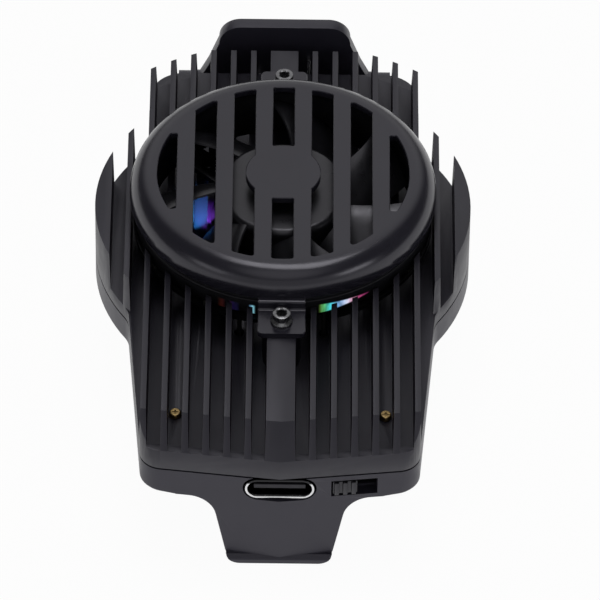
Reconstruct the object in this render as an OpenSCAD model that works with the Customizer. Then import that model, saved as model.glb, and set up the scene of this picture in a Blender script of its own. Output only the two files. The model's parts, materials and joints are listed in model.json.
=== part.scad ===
// Phone cooler: finned heat sink, fan under a slotted cover, thermoelectric module and
// a clip with one fixed jaw and one sprung lever.
// Millimetres. X runs to the right, Y away from the socket end and Z up. The origin is on
// the fan's axis, on the face of the cold plate that lies against the phone.

/* [Body outline] */
// Distance by which the round middle of the body reaches past the module's corners
disc_margin = 3.59; // [2.4:0.01:6]
// Distance from the fan's axis to the point of the front face
front_reach = 43.6; // [42:0.1:48]
// Angle by which each half of the front face falls back
front_angle = 6.9; // [3:0.1:10]
// Distance from the outer fin's middle to the side of the front neck
neck_margin = 0.55; // [0.4:0.05:2]
// Angle by which the sides of the front neck widen towards the middle
neck_taper = 4.7; // [0:0.1:6]
// Radius of the two front corners
front_corner = 3.0; // [1.5:0.1:4]
// Distance from the fan's axis to the rear edge
rear_reach = 32.3; // [31:0.1:36]
// Distance from the outer fin's middle to the side of the rear end
rear_margin = 0.35; // [0.35:0.05:2]
// Radius of the two rear corners
rear_corner = 4.5; // [2:0.1:6]
// Radius of the hollow corners between the round middle and the ends
neck_fillet = 4.0; // [2:0.1:6]

/* [Casing] */
// Height by which the cold plate stands out below the casing
plate_proud = 0.2; // [0.1:0.05:0.6]
// Height of the casing from its underside to the seam
case_height = 4.4; // [4.2:0.1:7]
// Thickness of the casing's side walls
case_wall = 1.4; // [1:0.1:2]
// Thickness of the casing's floor
case_floor = 1.0; // [0.8:0.1:1.4]
// Height of the shadow gap between the casing and the heat sink
seam_gap = 0.25; // [0.15:0.05:0.4]
// Depth of that shadow gap
seam_depth = 0.4; // [0.2:0.05:0.6]
// Radius of the posts that take the case screws
post_radius = 1.8; // [1.5:0.1:2.2]

/* [Front jaw] */
// Depth of both jaws below the casing's underside
jaw_depth = 10.8; // [8:0.1:14]
// Half width of the jaws at their tips
jaw_tip_half = 6.7; // [5:0.1:8]
// Angle by which the sides of the jaws widen upwards
jaw_taper = 11; // [0:0.5:16]
// Radius of the corners at the tips
jaw_corner = 2.0; // [1:0.1:3]
// Radius of the hollow corners where the jaw meets the casing
jaw_fillet = 3.5; // [2:0.1:5]
// Thickness of the front jaw at the point of the front face
jaw_thick = 2.6; // [2.2:0.1:3.5]
// Height of the straight lip that stands out at the tip
lip_height = 1.2; // [0.6:0.1:2]
// Distance by which the lip stands out
lip_out = 0.6; // [0.2:0.1:1]
// Thickness of the rubber pads
pad_thick = 0.9; // [0.5:0.1:1.5]
// Margin from the edge of a jaw to its pad
pad_margin = 1.1; // [0.6:0.1:2]

/* [Heat sink] */
// Thickness of the heat sink's base
sink_base = 1.95; // [1.5:0.05:3]
// Height of the fins above the base
fin_height = 5.8; // [5:0.1:8]
// Distance between fins
fin_pitch = 2.7; // [2.6:0.05:2.8]
// Distance from the axis to the first fin
fin_first = 4.15; // [4:0.05:4.3]
// Thickness of the fins at the top
fin_top = 0.73; // [0.6:0.01:0.9]
// Angle of each side of a fin, which makes it thicker lower down
fin_draft = 1.3; // [0.5:0.1:2]
// Half width of the middle plate at its top
plate_half = 1.85; // [1.5:0.05:2.2]
// Height of the plain band of the front face above the seam
front_band = 3.15; // [2.6:0.05:4]
// Thickness of the low wall behind that band
band_wall = 1.2; // [0.8:0.1:2]
// Distance over which the fins slope down at the front
front_bevel = 2.75; // [2:0.05:4]
// Distance by which the fin tops stand back from the rear edge
rear_slope = 1.8; // [1.6:0.1:3]
// Radius of the arc on which the fin tops end at the rear
rear_arc = 32.1; // [31:0.1:36]
// Radius of the round pocket for the fan
pocket_radius = 20.0; // [19.6:0.1:20.4]
// Depth of that pocket below the fin tops
pocket_depth = 3.0; // [2.8:0.1:3.4]

/* [Fan] */
// Gap between the fan's wall with its ring and the pocket
ring_gap = 0.25; // [0.2:0.05:0.5]
// Width of the light ring
ring_width = 1.05; // [0.8:0.05:1.2]
// Height of the light ring
ring_height = 2.5; // [2:0.1:3]
// Gap between the fan's wall and the pieces around it
wall_fit = 0.1; // [0.05:0.05:0.2]
// Thickness of the fan's wall
fan_wall = 1.0; // [0.8:0.1:1.4]
// Height of the fan's wall
fan_wall_height = 6.9; // [6:0.1:7.2]
// Thickness of the fan's floor
fan_floor = 0.8; // [0.6:0.1:1]
// Gap between the blade tips and the wall
tip_gap = 0.4; // [0.3:0.05:0.8]
// Radius of the rotor's hub
hub_radius = 8.9; // [8.6:0.1:9.4]
// Height of the hub's top above the fan's floor
hub_height = 5.4; // [5.2:0.1:5.6]
// Number of blades
blade_count = 7; // [5:1:9]
// Thickness of the blades
blade_thick = 0.7; // [0.5:0.05:1]
// Angle at which the first blade stands
blade_start = 12; // [0:1:51]
// Radius of the shaft
shaft_radius = 0.75; // [0.6:0.05:0.9]
// Running clearance of the shaft in its sleeve
shaft_fit = 0.02; // [0.01:0.01:0.05]
// Gap between the magnet and the stator
air_gap = 0.4; // [0.3:0.05:0.6]

/* [Fan cover] */
// Height of the cover's top above the fin tops
cover_rise = 5.9; // [5.6:0.1:7]
// Thickness of the cover
cover_thick = 0.9; // [0.7:0.1:1.2]
// Radius of the cover's flat top
cover_flat = 17.0; // [16.8:0.1:17.4]
// Largest radius of the cover
cover_radius = 20.2; // [20:0.1:21]
// Height of the rounded shoulder
shoulder_drop = 3.2; // [1.4:0.1:3.4]
// Gap between the cover's lower edge and the fan's shelf
skirt_gap = 0.3; // [0.2:0.05:0.6]
// Radius of the circle that holds the slots
slot_circle = 16.6; // [16.2:0.1:16.7]
// Width of the slots
slot_width = 2.84; // [2:0.02:3.2]
// Half length of the two outermost slots
outer_slot_half = 7.3; // [5:0.1:8.5]
// Distance between slots
slot_pitch = 5.15; // [4.8:0.05:5.3]
// Radius of the plain disc in the middle
cover_hub = 4.95; // [4:0.05:6]
// Width of the lugs
lug_width = 6.2; // [5:0.1:6.6]
// Distance from the axis to the end of a lug
lug_reach = 25.4; // [25:0.1:27]
// Distance from the axis to the screws in the lugs
lug_screw_at = 23.1; // [22.9:0.1:23.4]
// Thickness of the lugs
lug_thick = 0.8; // [0.6:0.1:1]
// Gap between the pocket and the upright of a lug
lug_gap = 0.1; // [0.1:0.05:0.3]

/* [Screws] */
// Radius of the heads of the cover screws
cover_head = 1.45; // [1.3:0.05:1.6]
// Radius of the shanks of the cover screws
cover_shank = 0.95; // [0.7:0.05:1]
// Length of the shanks of the cover screws
cover_shank_length = 4.5; // [3:0.1:5]
// Radius of the heads of the case screws
case_head = 0.8; // [0.7:0.05:0.85]
// Radius of the shanks of the case screws
case_shank = 0.55; // [0.45:0.05:0.6]
// Distance from the point of the front face to the front case screws
case_screw_inset = 9.6; // [8.6:0.1:11.6]
// Distance from the rear edge to the rear case screws
case_screw_rear_inset = 9.3; // [6.3:0.1:9.8]
// Radius of the heads of the fan screws
fan_head = 1.1; // [0.9:0.05:1.2]
// Distance from the axis to the fan screws
fan_screw_at = 14; // [13.5:0.1:14.5]
// Clearance of a screw in its hole
screw_fit = 0.06; // [0.04:0.01:0.1]

/* [Thermoelectric module] */
// Half width of the module
module_half = 15; // [10:0.5:15]
// Thickness of each ceramic plate
ceramic = 0.6; // [0.5:0.05:0.7]
// Thickness of the pad above the module
pad_height = 0.3; // [0.2:0.05:0.5]
// Thickness of the cold plate's rim
rim_thick = 0.7; // [0.5:0.05:0.8]
// Width of the cold plate's rim
rim_width = 1.5; // [1.2:0.1:1.5]
// Gap round the cold plate in its window
window_gap = 0.2; // [0.1:0.05:0.3]
// Number of pellets in a row
pellet_row = 8; // [4:1:12]

/* [Electronics] */
// Width of the socket's shell
usb_width = 8.94; // [8.94:0.01:8.94]
// Height of the socket's shell
usb_height = 3.26; // [3.26:0.01:3.26]
// Length of the socket's shell
usb_length = 7.3; // [6.5:0.1:8]
// Depth of the socket's centre below the seam
usb_drop = 2.1; // [2:0.05:2.2]
// Gap round the socket in the casing
usb_gap = 0.3; // [0.2:0.05:0.35]
// Thickness of the circuit board
board_thick = 0.8; // [0.6:0.1:1]
// Height of the board above the casing's floor
board_lift = 0.4; // [0.3:0.1:0.6]
// Gap between the board and what stands in its cut-outs
board_gap = 0.3; // [0.2:0.05:0.5]
// Distance along the right half of the front face to the switch
switch_at = 9.7; // [9.4:0.1:10.2]
// Depth of the switch's centre below the seam
switch_drop = 2.35; // [2.3:0.05:2.4]
// Width of the switch's slot
switch_slot = 6.0; // [5:0.1:6.2]
// Height of the switch's slot
switch_slot_height = 2.7; // [2.4:0.1:2.8]
// Width of the switch's knob
knob_width = 3.2; // [2.6:0.1:3.4]
// Gap round the knob in its slot
knob_gap = 0.3; // [0.3:0.05:0.4]

/* [Clip] */
// Distance from the rear edge to the hinge's axis
hinge_back = 2.3; // [2.2:0.05:3]
// Height of the hinge's axis above the casing's underside
hinge_rise = 2.4; // [2.2:0.1:2.8]
// Radius of the hinge's barrel
barrel_radius = 1.9; // [1.7:0.05:1.95]
// Half length of the hinge's barrel
barrel_half = 11.9; // [11:0.1:12.5]
// Width of the casing's hinge lugs
hinge_lug = 2.2; // [1.8:0.1:2.6]
// Gap between the barrel and the lugs
hinge_gap = 0.3; // [0.3:0.05:0.5]
// Radius of the hinge pin
pin_radius = 0.75; // [0.6:0.05:0.8]
// Running clearance of the barrel on the pin
pin_fit = 0.05; // [0.03:0.01:0.08]
// Thickness of the lever's plate
lever_thick = 1.8; // [1.4:0.1:2]
// Distance from the hinge's axis forward to the lever's inner face
lever_in = 1.0; // [0.9:0.05:1.05]
// Height of the lever's top above the fin tops
lever_rise = 1.4; // [0.5:0.1:3]
// Half width of the lever at its top
lever_top_half = 8.6; // [7:0.1:9.5]
// Half width of the lever above its root
lever_mid_half = 10.3; // [9.6:0.1:11]
// Radius of the lever's top corners
lever_corner = 3.0; // [1:0.1:4]
// Angle by which the rear jaw toes in at rest
toe_in = 10; // [6:1:12]
// Angle through which the lever turns, which the joint's range repeats
lever_swing = 13; // [8:1:13]
// Half width of the opening for the spring
spring_window = 4.0; // [3.9:0.1:4.4]
// Radius of the spring's wire
wire_radius = 0.22; // [0.18:0.01:0.24]
// Radius of the spring's coils to the middle of the wire
coil_radius = 1.25; // [1.2:0.01:1.3]
// Distance between coils
coil_pitch = 0.95; // [0.9:0.01:1]
// Number of coils
coil_turns = 7; // [5:1:7]

/* [Hidden] */
$fn = 96;
far = 80;
fillet_lap = 0.01; // the fillet's circle crosses the sides it runs into

disc_radius = module_half * sqrt(2) + disc_margin;
neck_half = fin_first + 5 * fin_pitch + neck_margin;
rear_half = fin_first + 5 * fin_pitch + rear_margin;

case_z = plate_proud;
seam_z = case_z + case_height;
case_in_z = case_z + case_floor;
floor_z = seam_z + sink_base;
fins_z = floor_z + fin_height;
pocket_z = fins_z - pocket_depth;
band_z = seam_z + front_band;
cover_z = fins_z + cover_rise;
jaw_z = case_z - jaw_depth;

face_offset = front_reach * cos(front_angle);
side_at = front_reach - 5.6;
side_offset = neck_half * cos(neck_taper) + side_at * sin(neck_taper);
corner_x = ((side_offset - front_corner) * cos(front_angle) - (face_offset - front_corner) * sin(neck_taper))
    / cos(front_angle + neck_taper);
corner_y = -((face_offset - front_corner) * cos(neck_taper) - (side_offset - front_corner) * sin(front_angle))
    / cos(front_angle + neck_taper);

fin_spread = fin_height * tan(fin_draft);
fin_foot = fin_top / 2 + fin_spread;
screw_gap_x = fin_first + 3.5 * fin_pitch;
case_screw_front = front_reach - case_screw_inset;
case_screw_rear = rear_reach - case_screw_rear_inset;
lead_x = fin_first + fin_pitch / 2;

ring_outer = pocket_radius - ring_gap;
ring_inner = ring_outer - ring_width;
wall_outer = ring_inner - wall_fit;
wall_inner = wall_outer - fan_wall;
tip_radius = wall_inner - tip_gap;
fan_top_z = pocket_z + fan_floor;
board_ring_thick = 0.6;
led_height = 0.6;
ring_lift = 0.3;
ring_z = pocket_z + board_ring_thick + led_height + ring_lift;
shelf_z = ring_z + ring_height;
shelf_thick = 0.5;
lead_y = 18.4;
lead_radius = 0.3;
lead_hole = 0.7;

hub_z = fan_top_z + hub_height;
hub_foot_z = fan_top_z + 1.15;
hub_roof = 0.8;
hub_wall = 0.6;
rotor_fit = 0.02;
yoke_outer = hub_radius - hub_wall - rotor_fit;
yoke_thick = 0.4;
magnet_outer = yoke_outer - yoke_thick - rotor_fit;
magnet_thick = 1.0;
magnet_inner = magnet_outer - magnet_thick;
stator_outer = magnet_inner - air_gap;
magnet_z = hub_foot_z + 0.2;
magnet_height = 2.8;
motor_board_thick = 0.6;
tube_wall = 0.5;
sleeve_outer = shaft_radius + 0.95;
tube_inner = sleeve_outer + rotor_fit;
tube_outer = tube_inner + tube_wall;
tube_top_z = hub_z - hub_roof - 0.75;
sleeve_z = fan_top_z + 0.75;
shaft_z = fan_top_z + 0.15;
clip_z = fan_top_z + 0.3;
clip_thick = 0.2;
groove_depth = 0.25;
core_z = magnet_z + 0.6;
core_height = 1.6;
core_inner = tube_outer + 0.05;
core_ring = 1.1;
arm_width = 2.0;
shoe_thick = 0.8;
shoe_half = 32;
coil_wall = 0.6;
coil_fit = 0.04;
blade_z = fan_top_z + 1.05;
blade_top_z = hub_z - 0.25;
blade_chord = 6.4;
blade_height = blade_top_z - blade_z;
blade_bend = 9;
spoke_width = 3.4;
rib_width = 1.6;
fan_shank = 0.55;
fan_head_height = 0.6;
fan_boss = 1.6;

arc_angle = 2 * atan(shoulder_drop / (cover_radius - cover_flat));
arc_radius = (cover_radius - cover_flat) / sin(arc_angle);
arc_z = cover_z - arc_radius;
lug_in = pocket_radius + lug_gap;
tongue_in = min(lug_in, cover_radius - cover_thick * 0.7);
tongue_out = max(lug_in + lug_thick, cover_radius - cover_thick * 0.3);
lug_tongue = 0.5;
rim_end_z = arc_z + arc_radius * cos(arc_angle);
skirt_low_z = shelf_z + shelf_thick + skirt_gap;
lug_corner = 0.6;
cover_boss = 2.5;
cover_head_height = 1.6;
case_head_height = 0.7;
case_screw_reach = 2.6;

rim_z = case_in_z;
plate_body = module_half + 0.5;
window_half = plate_body + window_gap;
rim_half = plate_body + window_gap + rim_width;
plate_corner = 3.0;
module_z = rim_z + rim_thick;
module_height = seam_z - pad_height - module_z;
pellet_height = module_height - 2 * ceramic;
pellet_pitch = 2 * (module_half - 1.2) / pellet_row;
pellet_size = pellet_pitch * 0.45;
lead_out_x = 8.5;
lead_out_radius = 0.4;

usb_z = seam_z - usb_drop;
usb_front = front_reach - 0.3;
usb_wall = 0.3;
tongue_width = 6.7;
tongue_thick = 0.7;
tongue_length = usb_length - 1.6;
contact_pitch = 0.5;
board_z = case_in_z + board_lift;
board_top_z = board_z + board_thick;
board_front = front_reach - 3.4;
board_rear = rim_half + 4.0;
board_middle = (board_front + board_rear) / 2;
board_grid = 1.0;
board_step = (board_front - board_rear) / 19;
board_post_x = 8 * board_grid;
board_post_front = usb_front - usb_length - 1.5;
board_post_rear = board_rear + 1.8;
lead_lap = 2.2;
rim_seat = 0.3;
fan_screw_reach = 2.0;
board_margin = case_wall + 0.8;
lead_z = board_top_z + lead_out_radius + 0.05;
switch_z = seam_z - switch_drop;
switch_body_half = 3.6;
switch_body_height = 2.0;
switch_body_in = case_wall + 0.5;
switch_body_depth = 2.8;
switch_tab = 1.5;
stem_half = 0.5;
stem_height = 0.6;
stem_gap = 0.3;
stem_depth = 1.2;
knob_end = 0.2;
knob_travel = switch_slot - knob_width - 2 * knob_end;
knob_height = switch_slot_height - 2 * knob_gap;
knob_rest = -switch_slot / 2 + knob_end + knob_width / 2;
rib_out = 0.35;

hinge_y = rear_reach + hinge_back;
hinge_z = case_z + hinge_rise;
lever_top_z = fins_z + lever_rise;
lever_mid_z = floor_z + 0.4;
lever_root_z = hinge_z + 1.0;
window_low_z = hinge_z - 2.4;
window_high_z = hinge_z + 2.6;
rear_jaw_length = (hinge_z - jaw_z - (lever_thick - lever_in) * sin(toe_in)) / cos(toe_in);
jaw_root = hinge_z - case_z + 1.0;
lug_radius = 1.8;
leg_angle = 12;
leg_case = 3.9;
leg_lever = 5.6;
echo("gap between the clip spring's coils", coil_pitch - 2 * wire_radius);
echo("knob travel", knob_travel);

// Plan outline of the body, drawn in by a distance
module outline(inset) {
    circle(r = disc_radius - inset);
    for (side = [0, 1])
        mirror([side, 0]) {
            front_half(inset);
            rear_half_plan(inset);
        }
}

module front_half(inset) {
    side_normal = [cos(neck_taper), -sin(neck_taper)];
    side_along = [sin(neck_taper), cos(neck_taper)];
    face_normal = [sin(front_angle), -cos(front_angle)];
    corner = [corner_x, corner_y];
    round = front_corner - inset;
    polygon([
        [-1, 0],
        [-1, -(face_offset - inset) / cos(front_angle) + tan(front_angle)],
        [0, -(face_offset - inset) / cos(front_angle)],
        corner + round * face_normal,
        corner + round * side_normal,
        [(side_offset - inset) / cos(neck_taper), 0]
    ]);
    translate(corner)
        circle(r = round);
    hollow = side_offset + neck_fillet;
    reach = disc_radius + neck_fillet;
    centre = hollow * side_normal - sqrt(reach * reach - hollow * hollow) * side_along;
    difference() {
        polygon([[0, 0], centre - (neck_fillet + inset) * side_normal, centre]);
        translate(centre)
            circle(r = neck_fillet + inset + fillet_lap);
    }
}

module rear_half_plan(inset) {
    round = rear_corner - inset;
    translate([-1, 0])
        square([rear_half - rear_corner + 1, rear_reach - inset]);
    square([rear_half - inset, rear_reach - rear_corner]);
    translate([rear_half - rear_corner, rear_reach - rear_corner])
        circle(r = round);
    hollow = rear_half + neck_fillet;
    reach = disc_radius + neck_fillet;
    centre = [hollow, sqrt(reach * reach - hollow * hollow)];
    difference() {
        polygon([[0, 0], centre - [neck_fillet + inset, 0], centre]);
        translate(centre)
            circle(r = neck_fillet + inset + fillet_lap);
    }
}

// Square with round corners, given its half width
module round_square(half, corner) {
    square([2 * half, 2 * (half - corner)], center = true);
    square([2 * (half - corner), 2 * half], center = true);
    for (x = [-1, 1], y = [-1, 1])
        translate([x, y] * (half - corner))
            circle(r = corner);
}

// Slot with round ends, given its width and height
module stadium(width, height) {
    square([width - height, height], center = true);
    for (side = [-1, 1])
        translate([side * (width - height) / 2, 0])
            circle(r = height / 2);
}

// A profile in Y and Z, run along X
module along_x(from, length) {
    translate([from, 0, 0])
        rotate([90, 0, 90])
            linear_extrude(height = length)
                children();
}

// A profile in X and Z, run along Y
module along_y(from, length) {
    translate([0, from + length, 0])
        rotate([90, 0, 0])
            linear_extrude(height = length)
                children();
}

module ring(outer, inner, height) {
    linear_extrude(height = height)
        difference() {
            circle(r = outer);
            circle(r = inner);
        }
}

// Front jaw seen from the front, drawn in by a distance
module jaw_profile(inset, top) {
    normal = [cos(jaw_taper), -sin(jaw_taper)];
    offset_side = jaw_tip_half * cos(jaw_taper) - jaw_z * sin(jaw_taper) - inset;
    round = jaw_corner - min(inset, jaw_corner - 0.5);
    low = jaw_z + inset;
    centre_x = (offset_side - round + (low + round) * sin(jaw_taper)) / cos(jaw_taper);
    corner = [centre_x, low + round];
    for (side = [0, 1])
        mirror([side, 0]) {
            polygon([
                [-1, low],
                [corner[0], low],
                corner + round * normal,
                [(offset_side + top * sin(jaw_taper)) / cos(jaw_taper), top],
                [-1, top]
            ]);
            translate(corner)
                circle(r = round);
        }
}

// Hollow corners beside the front jaw
module jaw_fillets() {
    normal = [cos(jaw_taper), -sin(jaw_taper)];
    offset_side = jaw_tip_half * cos(jaw_taper) - jaw_z * sin(jaw_taper);
    low = case_z - jaw_fillet;
    centre = [(offset_side + jaw_fillet + low * sin(jaw_taper)) / cos(jaw_taper), low];
    for (side = [0, 1])
        mirror([side, 0])
            difference() {
                polygon([
                    [0, case_z + 0.5],
                    [centre[0], case_z + 0.5],
                    [centre[0], case_z],
                    centre,
                    centre - jaw_fillet * normal,
                    [0, low]
                ]);
                translate(centre)
                    circle(r = jaw_fillet);
            }
}

// Fins and middle plate, seen from the front, above the base
module fin_row() {
    for (side = [0, 1], index = [0 : 5])
        mirror([side, 0])
            translate([fin_first + index * fin_pitch, 0])
                fin_section();
    polygon([
        [-plate_half - fin_spread, -0.5],
        [plate_half + fin_spread, -0.5],
        [plate_half + fin_spread, 0],
        [plate_half, fin_height],
        [-plate_half, fin_height],
        [-plate_half - fin_spread, 0]
    ]);
}

module fin_section() {
    polygon([
        [-fin_foot, -0.5],
        [fin_foot, -0.5],
        [fin_foot, 0],
        [fin_top / 2, fin_height],
        [-fin_top / 2, fin_height],
        [-fin_foot, 0]
    ]);
}

// Fins in the round parts at the sides
module side_fin_row() {
    for (side = [0, 1])
        mirror([side, 0]) {
            translate([fin_first + 6 * fin_pitch, 0])
                fin_section();
            translate([fin_first + 7 * fin_pitch, 0])
                polygon([
                    [-fin_foot, -0.5],
                    [disc_radius, -0.5],
                    [disc_radius, fin_height],
                    [-fin_top / 2, fin_height],
                    [-fin_foot, 0]
                ]);
        }
}

// Space cut away in front of the sloping front ends of the fins
module bevel_cut() {
    slope = front_bevel / (fins_z - band_z);
    for (side = [0, 1])
        mirror([side, 0, 0])
            translate([0, -front_reach, 0])
                rotate([0, 0, front_angle])
                    along_x(0, far)
                        polygon([
                            [-9, band_z],
                            [0, band_z],
                            [front_bevel + slope, fins_z + 1],
                            [-9, fins_z + 1]
                        ]);
}

// Space cut away behind the sloping rear ends of the fins
module rear_cut() {
    slope = rear_slope / fin_height;
    along_x(-far / 2, far)
        polygon([
            [rear_reach, floor_z],
            [rear_reach - rear_slope - slope, fins_z + 1],
            [far, fins_z + 1],
            [far, floor_z]
        ]);
    difference() {
        translate([-far / 2, pocket_radius, floor_z])
            cube([far, far, fin_height + 1]);
        translate([0, 0, floor_z])
            cylinder(r1 = rear_arc + rear_slope, r2 = rear_arc - slope, h = fin_height + 1);
    }
}

module screw_places() {
    for (x = [-screw_gap_x, screw_gap_x], y = [-case_screw_front, case_screw_rear])
        translate([x, y, 0])
            children();
}

module fan_screw_places() {
    for (index = [0 : 3])
        rotate([0, 0, 45 + 90 * index])
            translate([fan_screw_at, 0, 0])
                children();
}

module heat_sink() {
    color([0.06, 0.06, 0.065])
        difference() {
            union() {
                translate([0, 0, seam_z])
                    linear_extrude(height = sink_base)
                        outline(0);
                difference() {
                    intersection() {
                        translate([0, 0, floor_z - 0.5])
                            linear_extrude(height = fin_height + 0.5)
                                outline(0);
                        translate([0, 0, floor_z])
                            along_y(-far, 2 * far)
                                fin_row();
                    }
                    bevel_cut();
                    rear_cut();
                    translate([0, 0, pocket_z])
                        cylinder(r = pocket_radius, h = far);
                    screw_places()
                        translate([0, 0, floor_z])
                            cylinder(r = case_head + 0.2, h = far);
                }
                difference() {
                    intersection() {
                        translate([0, 0, floor_z - 0.5])
                            cylinder(r = disc_radius, h = fin_height + 0.5);
                        translate([0, 0, floor_z])
                            along_y(-far / 2, far)
                                side_fin_row();
                    }
                    translate([0, 0, pocket_z])
                        cylinder(r = pocket_radius, h = far);
                }
                translate([0, 0, floor_z - 0.5])
                    linear_extrude(height = band_z - floor_z + 0.5)
                        intersection() {
                            outline(0);
                            polygon([
                                [0, -front_reach + band_wall / cos(front_angle)],
                                [far, -front_reach + band_wall / cos(front_angle) + far * tan(front_angle)],
                                [far, -far],
                                [-far, -far],
                                [-far, -front_reach + band_wall / cos(front_angle) + far * tan(front_angle)]
                            ]);
                        }
                for (side = [-1, 1])
                    translate([0, side * lug_screw_at, floor_z - 0.5])
                        cylinder(r = cover_boss, h = fin_height + 0.5);
                fan_screw_places()
                    translate([0, 0, floor_z - 0.5])
                        cylinder(r = fan_boss, h = pocket_z - floor_z + 0.5);
            }
            for (side = [-1, 1])
                translate([0, side * lug_screw_at, fins_z - cover_shank_length - 0.3])
                    cylinder(r = cover_shank + screw_fit, h = far);
            fan_screw_places()
                translate([0, 0, pocket_z - fan_screw_reach - 0.4])
                    cylinder(r = fan_shank + screw_fit, h = far);
            screw_places()
                translate([0, 0, seam_z - 1])
                    cylinder(r = case_shank + screw_fit, h = far);
            for (side = [-1, 1])
                translate([side * lead_x, -lead_y, seam_z - 1])
                    cylinder(r = lead_hole, h = far);
        }
}

module base_case() {
    color([0.05, 0.05, 0.055])
        difference() {
            union() {
                difference() {
                    translate([0, 0, case_z]) {
                        linear_extrude(height = case_height - seam_gap)
                            outline(0);
                        linear_extrude(height = case_height)
                            outline(seam_depth);
                    }
                    translate([0, 0, case_in_z])
                        linear_extrude(height = case_height)
                            outline(case_wall);
                }
                screw_places()
                    translate([0, 0, case_in_z - 0.5])
                        cylinder(r = post_radius, h = seam_z - case_in_z + 0.5);
                for (x = [-board_post_x, board_post_x], y = [-board_post_front, -board_post_rear])
                    translate([x, y, case_in_z - 0.5])
                        cylinder(r = 1, h = board_lift + 0.5);
                front_jaw();
                hinge_lugs();
            }
            translate([0, 0, -1])
                linear_extrude(height = case_in_z + 1.01)
                    round_square(window_half, plate_corner);
            along_y(-front_reach - 5, 5 + board_margin + 2)
                translate([0, usb_z])
                    stadium(usb_width + 2 * usb_gap, usb_height + 2 * usb_gap);
            translate([-usb_width / 2 - usb_gap, -usb_front + 1, usb_z - usb_height / 2 - 0.1])
                cube([usb_width + 2 * usb_gap, usb_length, usb_height]);
            switch_place()
                translate([-switch_slot / 2, -3, switch_z - switch_slot_height / 2])
                    cube([switch_slot, case_wall + 3.2, switch_slot_height]);
            screw_places()
                translate([0, 0, seam_z - case_screw_reach])
                    cylinder(r = case_shank + screw_fit, h = far);
            translate([-far / 2, hinge_y, hinge_z])
                rotate([0, 90, 0])
                    cylinder(r = pin_radius + rotor_fit, h = far);
        }
}

module front_jaw() {
    intersection() {
        union() {
            along_y(-front_reach - 3, 9)
                jaw_profile(0, case_z + 0.5);
            along_y(-front_reach - 3, 9)
                jaw_fillets();
        }
        union() {
            translate([0, 0, jaw_z])
                linear_extrude(height = jaw_depth + 0.5)
                    difference() {
                        outline(0);
                        translate([-far / 2, -front_reach + jaw_thick])
                            square([far, far * 2]);
                    }
            translate([0, -front_reach, jaw_z])
                along_x(-far / 4, far / 2)
                    polygon([
                        [jaw_thick / 2 + 0.1, 0],
                        [jaw_thick / 2 + 0.1, lip_height],
                        [0.4, lip_height],
                        [-lip_out, lip_height * 0.5],
                        [-lip_out, 0]
                    ]);
        }
    }
}

module hinge_lugs() {
    for (side = [0, 1])
        mirror([side, 0, 0]) {
            translate([barrel_half + hinge_gap, hinge_y, hinge_z])
                rotate([0, 90, 0])
                    cylinder(r = lug_radius, h = hinge_lug);
            translate([barrel_half + hinge_gap, rear_reach - case_wall + 0.4, hinge_z - lug_radius])
                cube([hinge_lug, hinge_back + case_wall - 0.4, 2 * lug_radius]);
        }
}

module front_jaw_pad() {
    color([0.12, 0.12, 0.12])
        along_y(-front_reach + jaw_thick, pad_thick)
            jaw_profile(pad_margin, case_z - 1.5);
}

module cold_plate() {
    color([0.72, 0.73, 0.75]) {
        linear_extrude(height = rim_z)
            round_square(plate_body, plate_corner);
        translate([0, 0, rim_z])
            linear_extrude(height = rim_thick)
                rim_outline();
    }
}

// Outline of the cold plate's rim, which stays inside the casing's walls
module rim_outline() {
    intersection() {
        round_square(rim_half, plate_corner + 0.5);
        outline(case_wall + rim_seat);
    }
}

module thermal_pad() {
    color([0.6, 0.62, 0.66])
        translate([-module_half, -module_half, seam_z - pad_height])
            cube([2 * module_half, 2 * module_half, pad_height]);
}

module peltier_hot_plate() {
    color([0.92, 0.92, 0.9])
        translate([-module_half, -module_half, seam_z - pad_height - ceramic])
            cube([2 * module_half, 2 * module_half, ceramic]);
}

module peltier_cold_plate() {
    color([0.92, 0.92, 0.9])
        translate([-module_half, -module_half, module_z])
            cube([2 * module_half, 2 * module_half, ceramic]);
}

module peltier_pellets() {
    color([0.45, 0.45, 0.48])
        for (x = [0 : pellet_row - 1], y = [0 : pellet_row - 1])
            translate([
                (x - (pellet_row - 1) / 2) * pellet_pitch - pellet_size / 2,
                (y - (pellet_row - 1) / 2) * pellet_pitch - pellet_size / 2,
                module_z + ceramic
            ])
                cube([pellet_size, pellet_size, pellet_height]);
}

module peltier_leads() {
    color([0.6, 0.1, 0.1])
        for (side = [-1, 1])
            translate([side * lead_out_x, -module_half + 0.4, lead_z])
                rotate([90, 0, 0])
                    cylinder(r = lead_out_radius, h = board_rear + lead_lap - module_half + 0.6);
}

module foam_gasket() {
    color([0.2, 0.2, 0.21])
        difference() {
            translate([0, 0, module_z])
                linear_extrude(height = seam_z - module_z)
                    difference() {
                        rim_outline();
                        square(2 * module_half + 0.4, center = true);
                        for (side = [-1, 1])
                            translate([side * lead_x, -lead_y])
                                circle(r = lead_radius + rim_seat);
                    }
            for (side = [-1, 1])
                translate([side * lead_out_x, 0, lead_z])
                    rotate([90, 0, 0])
                        cylinder(r = lead_out_radius + 0.1, h = far);
        }
}

// Frame of the switch: X along the right half of the front face, Y inwards
module switch_place() {
    translate([0, -front_reach, 0])
        rotate([0, 0, front_angle])
            translate([switch_at, 0, 0])
                children();
}

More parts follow.
